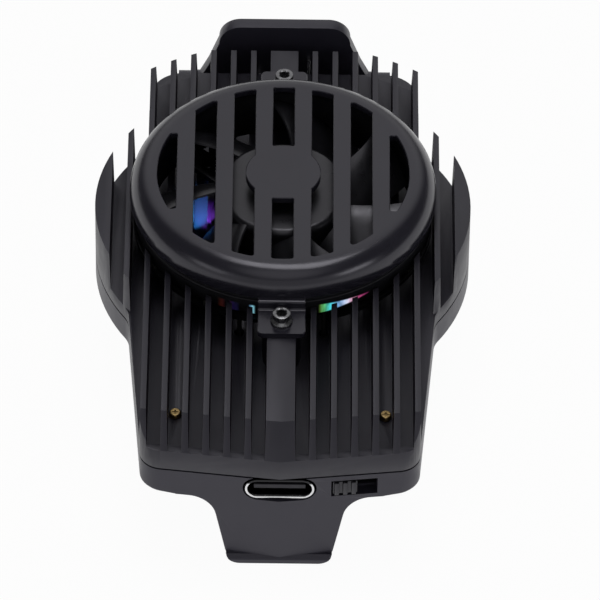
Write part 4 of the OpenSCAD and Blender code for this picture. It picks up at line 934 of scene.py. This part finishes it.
def slotted_cover():
    centre = Vector((FLAT_RADIUS, COVER_HIGH.z - SHOULDER))
    outer, inner = COVER_HIGH.x, COVER_HIGH.x - COVER_THICK
    profile = arc(SHOULDER, math.pi / 2, 0, 18, centre)
    profile += arc(RIM_ROUND, 0, -math.pi / 2, 4, (outer - RIM_ROUND, SKIRT_LOW + RIM_ROUND))
    profile += arc(RIM_ROUND, 1.5 * math.pi, math.pi, 3, (inner + RIM_ROUND, SKIRT_LOW + RIM_ROUND))
    profile += arc(SHOULDER - COVER_THICK, 0, math.pi / 2, 12, centre)
    bm = bmesh.new()
    part = bm.faces.layers.int.new("part")
    lathe(bm, [tuple(p) for p in profile], 180)
    for face in bm.faces:
        face[part] = SHELL
    for side in (1, -1):
        for face in loft(bm, cover_lug(side)):
            face[part] = LUG
    cuts = [(outline, 0.0) for outline in slot_outlines()]
    for side in (1, -1):
        hole = [p + Vector((0, side * LUG_SCREW)) for p in arc(LUG_HOLE, 0, math.tau * 23 / 24, 23)]
        cuts.append((hole, COVER_LOW.z + LUG_THICK - COVER_HIGH.z))
    for outline, level in cuts:
        rings = [[(p.x, p.y, level + z * MM) for p in grown_out(outline, wider * MM)]
                 for z, wider in CUT_STEPS]
        for face in loft(bm, rings):
            face[part] = CUTTER
    seed = meshed(bm, "cover_seed")
    grown_piece(cover_tree(), "slotted_cover", seed, "fan_cover", 30, Level=COVER_HIGH.z)


HUB_RADIUS = 8.9 * MM
HUB_ROUND = 1.0 * MM
HUB_WALL = 0.6 * MM
HUB_ROOF = 0.8 * MM
BLADE_COUNT = 7
BLADE_REACH = ROTOR_HIGH.x
BLADE_LEAD = math.radians(32)
BLADE_SWEEP = math.radians(1.5) / MM
BLADE_CHORD = 6.4 * MM
BLADE_THICK = 0.7 * MM


def fan_blade(low, high):
    """One swept blade: its upper edge leads, and the outer end leads the root."""
    bm = bmesh.new()
    rows, columns = 9, 8
    root = HUB_RADIUS - 0.4 * MM
    rings = []
    for i in range(rows + 1):
        r = root + (BLADE_REACH - root) * i / rows
        lead = BLADE_LEAD + BLADE_SWEEP * (r - HUB_RADIUS)
        span = BLADE_CHORD / r * (1 + 0.25 * i / rows)
        front, back = [], []
        for k in range(columns + 1):
            t = k / columns
            angle = lead - (1 - t) * span
            rise = t + 0.35 * t * (1 - t)
            z = low + (high - low) * rise
            thick = BLADE_THICK * (0.35 + 0.65 * math.sin(math.pi * (0.08 + 0.84 * t)))
            tilt = math.atan2((high - low), BLADE_CHORD)
            for points, s in ((front, 0.5), (back, -0.5)):
                a = angle - s * thick * math.sin(tilt) / r
                zz = min(max(z + s * thick * math.cos(tilt), low), high)
                points.append((r * math.cos(a), r * math.sin(a), zz))
        rings.append(front + back[::-1])
    loft(bm, rings)
    return meshed(bm, "fan_blade")


def fan_wheel():
    low, high = ROTOR_LOW.z, ROTOR_HIGH.z
    foot = low + 0.1 * MM
    dome = arc(HUB_ROUND, math.pi / 2, 0, 8, (HUB_RADIUS - HUB_ROUND, high - HUB_ROUND))
    inside = HUB_RADIUS - HUB_WALL
    profile = [tuple(p) for p in dome] + [(HUB_RADIUS, foot + 0.1 * MM), (HUB_RADIUS - 0.1 * MM, foot),
                                          (inside, foot), (inside, high - HUB_ROOF)]
    blades = round_tree().grow("fan_blades", fan_blade(low, high - 0.25 * MM), SLOT_OF["fan_rotor"],
                               Number=BLADE_COUNT, Start=0.0)
    bm = bmesh.new()
    lathe(bm, profile, 96)
    bmesh.ops.recalc_face_normals(bm, faces=bm.faces)
    bm.from_mesh(blades)
    mesh = plain_mesh(bm, "fan_wheel")
    smooth(mesh, 40)
    stand_in("fan_wheel", mesh, "fan_rotor")


def recessed(mesh_verts, socket, low, shape):
    """Turns the round recess of a screw into a hexagon or a cross."""
    for vert in mesh_verts:
        if math.hypot(vert.co.x, vert.co.y) > socket * 1.05 or vert.co.z < low:
            continue
        a = math.atan2(vert.co.y, vert.co.x)
        if shape == "hex":
            turned = (a + math.pi / 6) % (math.pi / 3) - math.pi / 6
            k = math.cos(math.pi / 6) / math.cos(turned)
        else:
            k = 0.32 + 0.68 * abs(math.cos(2 * a)) ** 5
        vert.co.x *= k
        vert.co.y *= k


def screw_mesh(name, head, height, shank, length, socket, depth, shape, steps=36, flanged=False):
    """A screw at the origin, its head's seat at height 0, with a shaped recess."""
    bm = bmesh.new()
    profile = [(socket * 0.2, height - depth), (socket, height - depth), (socket, height - 0.12 * depth),
               (socket * 1.12, height)]
    if flanged:
        cap, waist = 0.84 * head, 0.74 * head
        profile += [(cap - 0.16 * MM, height), (cap - 0.04 * MM, height - 0.06 * MM),
                    (cap, height - 0.2 * MM), (cap, height * 0.56), (waist, height * 0.46),
                    (waist, height * 0.38), (head - 0.2 * MM, height * 0.30),
                    (head - 0.05 * MM, height * 0.24), (head, height * 0.16)]
    else:
        rise = 0.55 * height
        dome = arc(1.0, math.pi / 2, math.radians(12), 6)
        rim = socket * 1.12
        profile += [(rim + (head - rim) * p.x, height - rise + rise * p.y) for p in dome[1:]]
    profile += [(head, 0.12 * height), (head - 0.08 * MM, 0), (shank, 0), (shank, 0.3 * MM - length),
                (shank * 0.6, -length)]
    lathe(bm, profile, steps)
    recessed(bm.verts, socket, height - 1.01 * depth, shape)
    return meshed(bm, name)


# Head, height, shank, socket and its depth in mm
SMALL_SCREWS = {"case": (0.8, 0.7, 0.55, 0.5, 0.35), "fan": (1.1, 0.6, 0.55, 0.6, 0.3)}


def screws():
    rows = rows_tree()
    low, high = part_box("cover_screws")
    seat = COVER_LOW.z + LUG_THICK
    seed = screw_mesh("cover_screw", 1.45 * MM, high.z - seat, 0.95 * MM, seat - low.z,
                      0.68 * MM, 0.9 * MM, "hex", flanged=True)
    grown_piece(rows, "cover_screw_pair", seed, "cover_screws", 35, Columns=1, Rows=2,
                Across=0.0, Along=2 * LUG_SCREW, Centre=(0, 0, seat))
    for kind, sizes in SMALL_SCREWS.items():
        head, height, shank, socket, depth = [size * MM for size in sizes]
        low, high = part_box(kind + "_screws")
        seat = high.z - height
        seed = screw_mesh(kind + "_screw", head, height, shank, seat - low.z, socket, depth, "cross", 32)
        grown_piece(rows, kind + "_screw_set", seed, kind + "_screws", 35, Columns=2, Rows=2,
                    Across=high.x - low.x - 2 * head, Along=high.y - low.y - 2 * head,
                    Centre=(0, (low.y + high.y) / 2, seat))


def soft_block(name, size, edge):
    """A small block at the origin with eased edges."""
    bm = bmesh.new()
    bmesh.ops.create_cube(bm, size=1.0, matrix=Matrix.Diagonal((*size, 1)))
    bmesh.ops.bevel(bm, geom=bm.edges, offset=edge, segments=1, affect="EDGES", clamp_overlap=True)
    return meshed(bm, name)


def small_rows():
    """Pellets of the module and contacts of the socket."""
    rows = rows_tree()
    low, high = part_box("peltier_pellets")
    pitch, size = 3.45 * MM, 1.55 * MM
    seed = soft_block("pellet", (size, size, high.z - low.z), 0.08 * MM)
    grown_piece(rows, "pellet_grid", seed, "peltier_pellets", None, Columns=8, Rows=8,
                Across=pitch, Along=pitch, Centre=(low + high) / 2)
    low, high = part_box("usb_contacts")
    thick, pitch = 0.1 * MM, 0.5 * MM
    seed = soft_block("contact", (0.26 * MM, high.y - low.y, thick), 0.02 * MM)
    bm = bmesh.new()
    for level in (high.z - thick / 2, low.z + thick / 2):
        bm.from_mesh(rows.grow("contact_rows", seed, SLOT_OF["usb_contacts"], Columns=12, Rows=1,
                               Across=pitch, Along=0.0, Centre=(0, (low.y + high.y) / 2, level)))
    stand_in("contact_rows", plain_mesh(bm, "contact_rows"), "usb_contacts")


def wire_path(name, lines):
    mesh = bpy.data.meshes.new(name)
    points, edges = [], []
    for line in lines:
        edges += [(len(points) + k, len(points) + k + 1) for k in range(len(line) - 1)]
        points += line
    mesh.from_pydata(points, edges, [])
    return mesh


HINGE = (PIN_LOW + PIN_HIGH) / 2
COIL_RADIUS = 1.25 * MM
COIL_PITCH = 0.95 * MM
COIL_TURNS = 7
WIRE_RADIUS = 0.22 * MM


def clip_spring():
    lean = math.radians(12)

    def coil(turn):
        a = math.tau * turn
        return Vector(((turn - COIL_TURNS / 2) * COIL_PITCH, HINGE.y - COIL_RADIUS * math.cos(a),
                       HINGE.z - COIL_RADIUS * math.sin(a)))

    first = lean / math.tau
    way = Vector((0, -math.sin(lean), math.cos(lean)))
    line = [coil(first) + way * 3.9 * MM * part for part in (1, 0.66, 0.33)]
    line += [coil(turn) for turn in spread(first, COIL_TURNS, COIL_TURNS * 24)]
    line += [coil(COIL_TURNS) + UP * 5.6 * MM * part for part in (0.33, 0.66, 1)]
    grown_piece(wire_tree(), "wound_spring", wire_path("spring_path", [line]), "clip_spring", 50,
                Radius=WIRE_RADIUS, Sides=10)


def motor_windings():
    """Copper wire wound round the four arms of the stator, inside the box that the solids keep."""
    low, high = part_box("stator_coils")
    wire, arm = 0.13 * MM, 1.0 * MM
    half_z = (high.z - low.z) / 2 - 1.2 * wire
    middle = (low.z + high.z) / 2
    reach = high.x - 1.2 * wire
    inner = reach - 2.2 * MM
    half_y = arm + 0.64 * MM - 1.2 * wire
    turns = 8
    lines = []
    for index in range(4):
        turn = Matrix.Rotation(index * math.pi / 2, 3, "Z")
        line = []
        for k in range(turns * 16 + 1):
            a = math.tau * k / 16
            c, s = math.cos(a), math.sin(a)
            stretch = 1 / max(abs(c), abs(s)) ** 0.7
            x = inner + (reach - inner) * k / (turns * 16)
            across = min(max(c * stretch, -1), 1)
            upward = min(max(s * stretch, -1), 1)
            line.append(turn @ Vector((x, half_y * across, middle + half_z * upward)))
        lines.append(line)
    grown_piece(wire_tree(), "motor_windings", wire_path("winding_path", lines), "stator_coils", 60,
                Radius=wire, Sides=6)


def glow_ring():
    edge = 0.25 * MM
    outer = RING_HIGH.x
    inner = outer - 1.05 * MM
    low, high = RING_LOW.z, RING_HIGH.z
    corners = ((inner, low), (outer, low), (outer, high), (inner, high))
    profile = round_off([Vector(corner) for corner in corners], edge, 3)
    bm = bmesh.new()
    lathe(bm, [tuple(p) for p in profile], 180, caps=False)
    mesh = meshed(bm, "glow_ring")
    smooth(mesh, 40)
    stand_in("glow_ring", mesh, "light_ring")


def casing_outline():
    """The closed outline of the casing in plan, taken from the heat sink's underside."""
    bm = joined_copy("heat_sink")
    beside = {}
    for edge in bm.edges:
        if len(edge.link_faces) != 2 or any(abs(v.co.z - SINK_LOW.z) > 0.01 * MM for v in edge.verts):
            continue
        tilts = sorted(face.normal.z for face in edge.link_faces)
        if tilts[0] < -0.9 and abs(tilts[1]) < 0.3:
            a, b = edge.verts
            beside.setdefault(a, []).append(b)
            beside.setdefault(b, []).append(a)
    start = max(beside, key=lambda v: v.co.x)
    loop, before, here = [], None, start
    while True:
        loop.append(here.co.xy.copy())
        ahead = [v for v in beside[here] if v is not before]
        before, here = here, ahead[0]
        if here is start:
            break
    bm.free()
    area = sum(a.x * b.y - b.x * a.y for a, b in zip(loop, loop[1:] + loop[:1]))
    if area < 0:
        loop.reverse()
    fine = []
    for a, b in zip(loop, loop[1:] + loop[:1]):
        steps = max(1, math.ceil((b - a).length / (0.7 * MM)))
        fine += [a.lerp(b, k / steps) for k in range(steps)]
    return fine


CASE_ROUND = 0.85 * MM
JAW_FADE = (13.0 * MM, 17.0 * MM)
HINGE_FADE = (15.7 * MM, 17.6 * MM)
EDGE_LEAST = 0.03 * MM
JAW_FACE = CASE_LOW.y + 0.6 * MM
LIP_TOP = CASE_LOW.z + 1.6 * MM
LIP_SHARE = 0.3


def edge_radius(p):
    """Radius of the casing's lower edge, fading out beside the jaw and the hinge."""
    fade = None
    if p.y < -38 * MM:
        fade = JAW_FADE
    elif p.y > 31 * MM:
        fade = HINGE_FADE
    if fade is None:
        return CASE_ROUND
    share = min(max((abs(p.x) - fade[0]) / (fade[1] - fade[0]), 0), 1)
    return CASE_ROUND * share


def edge_cutter(bm, part):
    """Two long strips, left and right, that cut the casing's lower edge round."""
    outline = casing_outline()
    count = len(outline)
    for side in (1, -1):
        chosen = [i for i, p in enumerate(outline) if p.x * side > 0 and edge_radius(p) > EDGE_LEAST]
        first = next(i for i in chosen if (i - 1) % count not in chosen)
        rings = []
        for k in range(len(chosen)):
            i = (first + k) % count
            p = outline[i]
            along = (outline[(i + 1) % count] - outline[i - 1]).normalized()
            out = Vector((along.y, -along.x))
            r = edge_radius(p)
            low = CASE_UNDERSIDE
            section = [Vector((0.6 * MM, low + r))]
            section += arc(r + 0.01 * MM, 0, -math.pi / 2, 8, (-r, low + r))
            section += [Vector((-r, low - 0.4 * MM)), Vector((0.6 * MM, low - 0.4 * MM))]
            rings.append([(*(p + out * q.x), q.y) for q in section])
        for face in loft(bm, rings):
            face[part] = CUTTER


def lower_casing():
    """The casing with eased edges and its long lower edge well rounded."""
    bm = joined_copy("base_case")
    for vert in bm.verts:
        if vert.co.y < JAW_FACE and vert.co.z < LIP_TOP:
            vert.co.y = JAW_FACE + (vert.co.y - JAW_FACE) * LIP_SHARE
    carrier = bpy.data.objects.new("casing_rough", plain_mesh(bm, "casing_rough"))
    bpy.context.scene.collection.objects.link(carrier)
    eased(carrier, 0.15 * MM)
    graph = bpy.context.evaluated_depsgraph_get()
    soft = bpy.data.meshes.new_from_object(carrier.evaluated_get(graph))
    bpy.data.objects.remove(carrier)
    bm = bmesh.new()
    bm.faces.layers.int.new("part")
    bm.from_mesh(soft)
    cutter = bmesh.new()
    cut_part = cutter.faces.layers.int.new("part")
    edge_cutter(cutter, cut_part)
    bm.from_mesh(meshed(cutter, "edge_strips"))
    seed = plain_mesh(bm, "casing_seed")
    piece = grown_piece(cover_tree(), "lower_casing", seed, "base_case", 32, Level=0.0)
    even = piece.modifiers.new("even_shading", "WEIGHTED_NORMAL")
    even.keep_sharp = True


def hinge_rod():
    radius = (PIN_HIGH.z - PIN_LOW.z) / 2
    length = PIN_HIGH.x - PIN_LOW.x
    edge = 0.15 * MM
    bm = bmesh.new()
    lathe(bm, [(radius - edge, -length / 2), (radius, edge - length / 2), (radius, length / 2 - edge),
               (radius - edge, length / 2)], 32)
    lying = Matrix.Translation(HINGE) @ Matrix.Rotation(math.pi / 2, 4, "Y")
    bmesh.ops.transform(bm, matrix=lying, verts=bm.verts)
    mesh = meshed(bm, "hinge_rod")
    smooth(mesh)
    stand_in("hinge_rod", mesh, "hinge_pin")


def soft_pads():
    for node, name, edge, fill in (("front_jaw_pad", "front_jaw_rubber", 0.32 * MM, 1.0),
                                   ("rear_jaw_pad", "rear_jaw_rubber", 0.32 * MM, 1.0),
                                   ("thermal_pad", "soft_thermal_pad", 0.12 * MM, 0.9),
                                   ("foam_gasket", "foam_frame", 0.2 * MM, 0.7)):
        eased_copy(node, name, edge, 3)


photo_camera()
white_room()
pale_floor()
soft_box("top_light", (0.04, 0.12, 0.90), (0, 0, 0), (0.50, 0.34), 2.25)
soft_box("right_light", (0.68, -0.53, 0.39), (0, 0, 0), (0.35, 0.20), 0.60)
soft_box("left_light", (-0.68, -0.53, 0.39), (0, 0, 0), (0.35, 0.20), 0.25)
ring_lamp("blue_light", (-11.9, -2.8, 12.6), (-11.9, 0.1, 10.15), (0.06, 0.45, 1.0), 0.07)
ring_lamp("violet_light", (-9.9, -2.6, 12.6), (-9.8, 0.1, 10.15), (0.40, 0.10, 1.0), 0.02)
ring_lamp("green_light", (-9.9, -9.6, 16.5), (-9.9, -9.6, 10.0), (0.05, 0.6, 0.35), 0.003)
dress_frame()

slotted_cover()
fan_wheel()
glow_ring()
lower_casing()
eased_copy("heat_sink", "finned_sink", 0.10 * MM)
eased_copy("clip_lever", "rear_lever", 0.25 * MM, 3)
eased_copy("fan_frame", "fan_housing", 0.08 * MM)
eased_copy("usb_shell", "socket_shell", 0.08 * MM, front_by=SOCKET_INSET)
eased_copy("usb_tongue", "socket_tongue", 0.08 * MM, front_by=-TONGUE_REACH)
eased_copy("switch_knob", "ribbed_knob", 0.08 * MM)
screws()
small_rows()
clip_spring()
motor_windings()
hinge_rod()
soft_pads()

scene = bpy.context.scene
scene.view_settings.view_transform = "Standard"
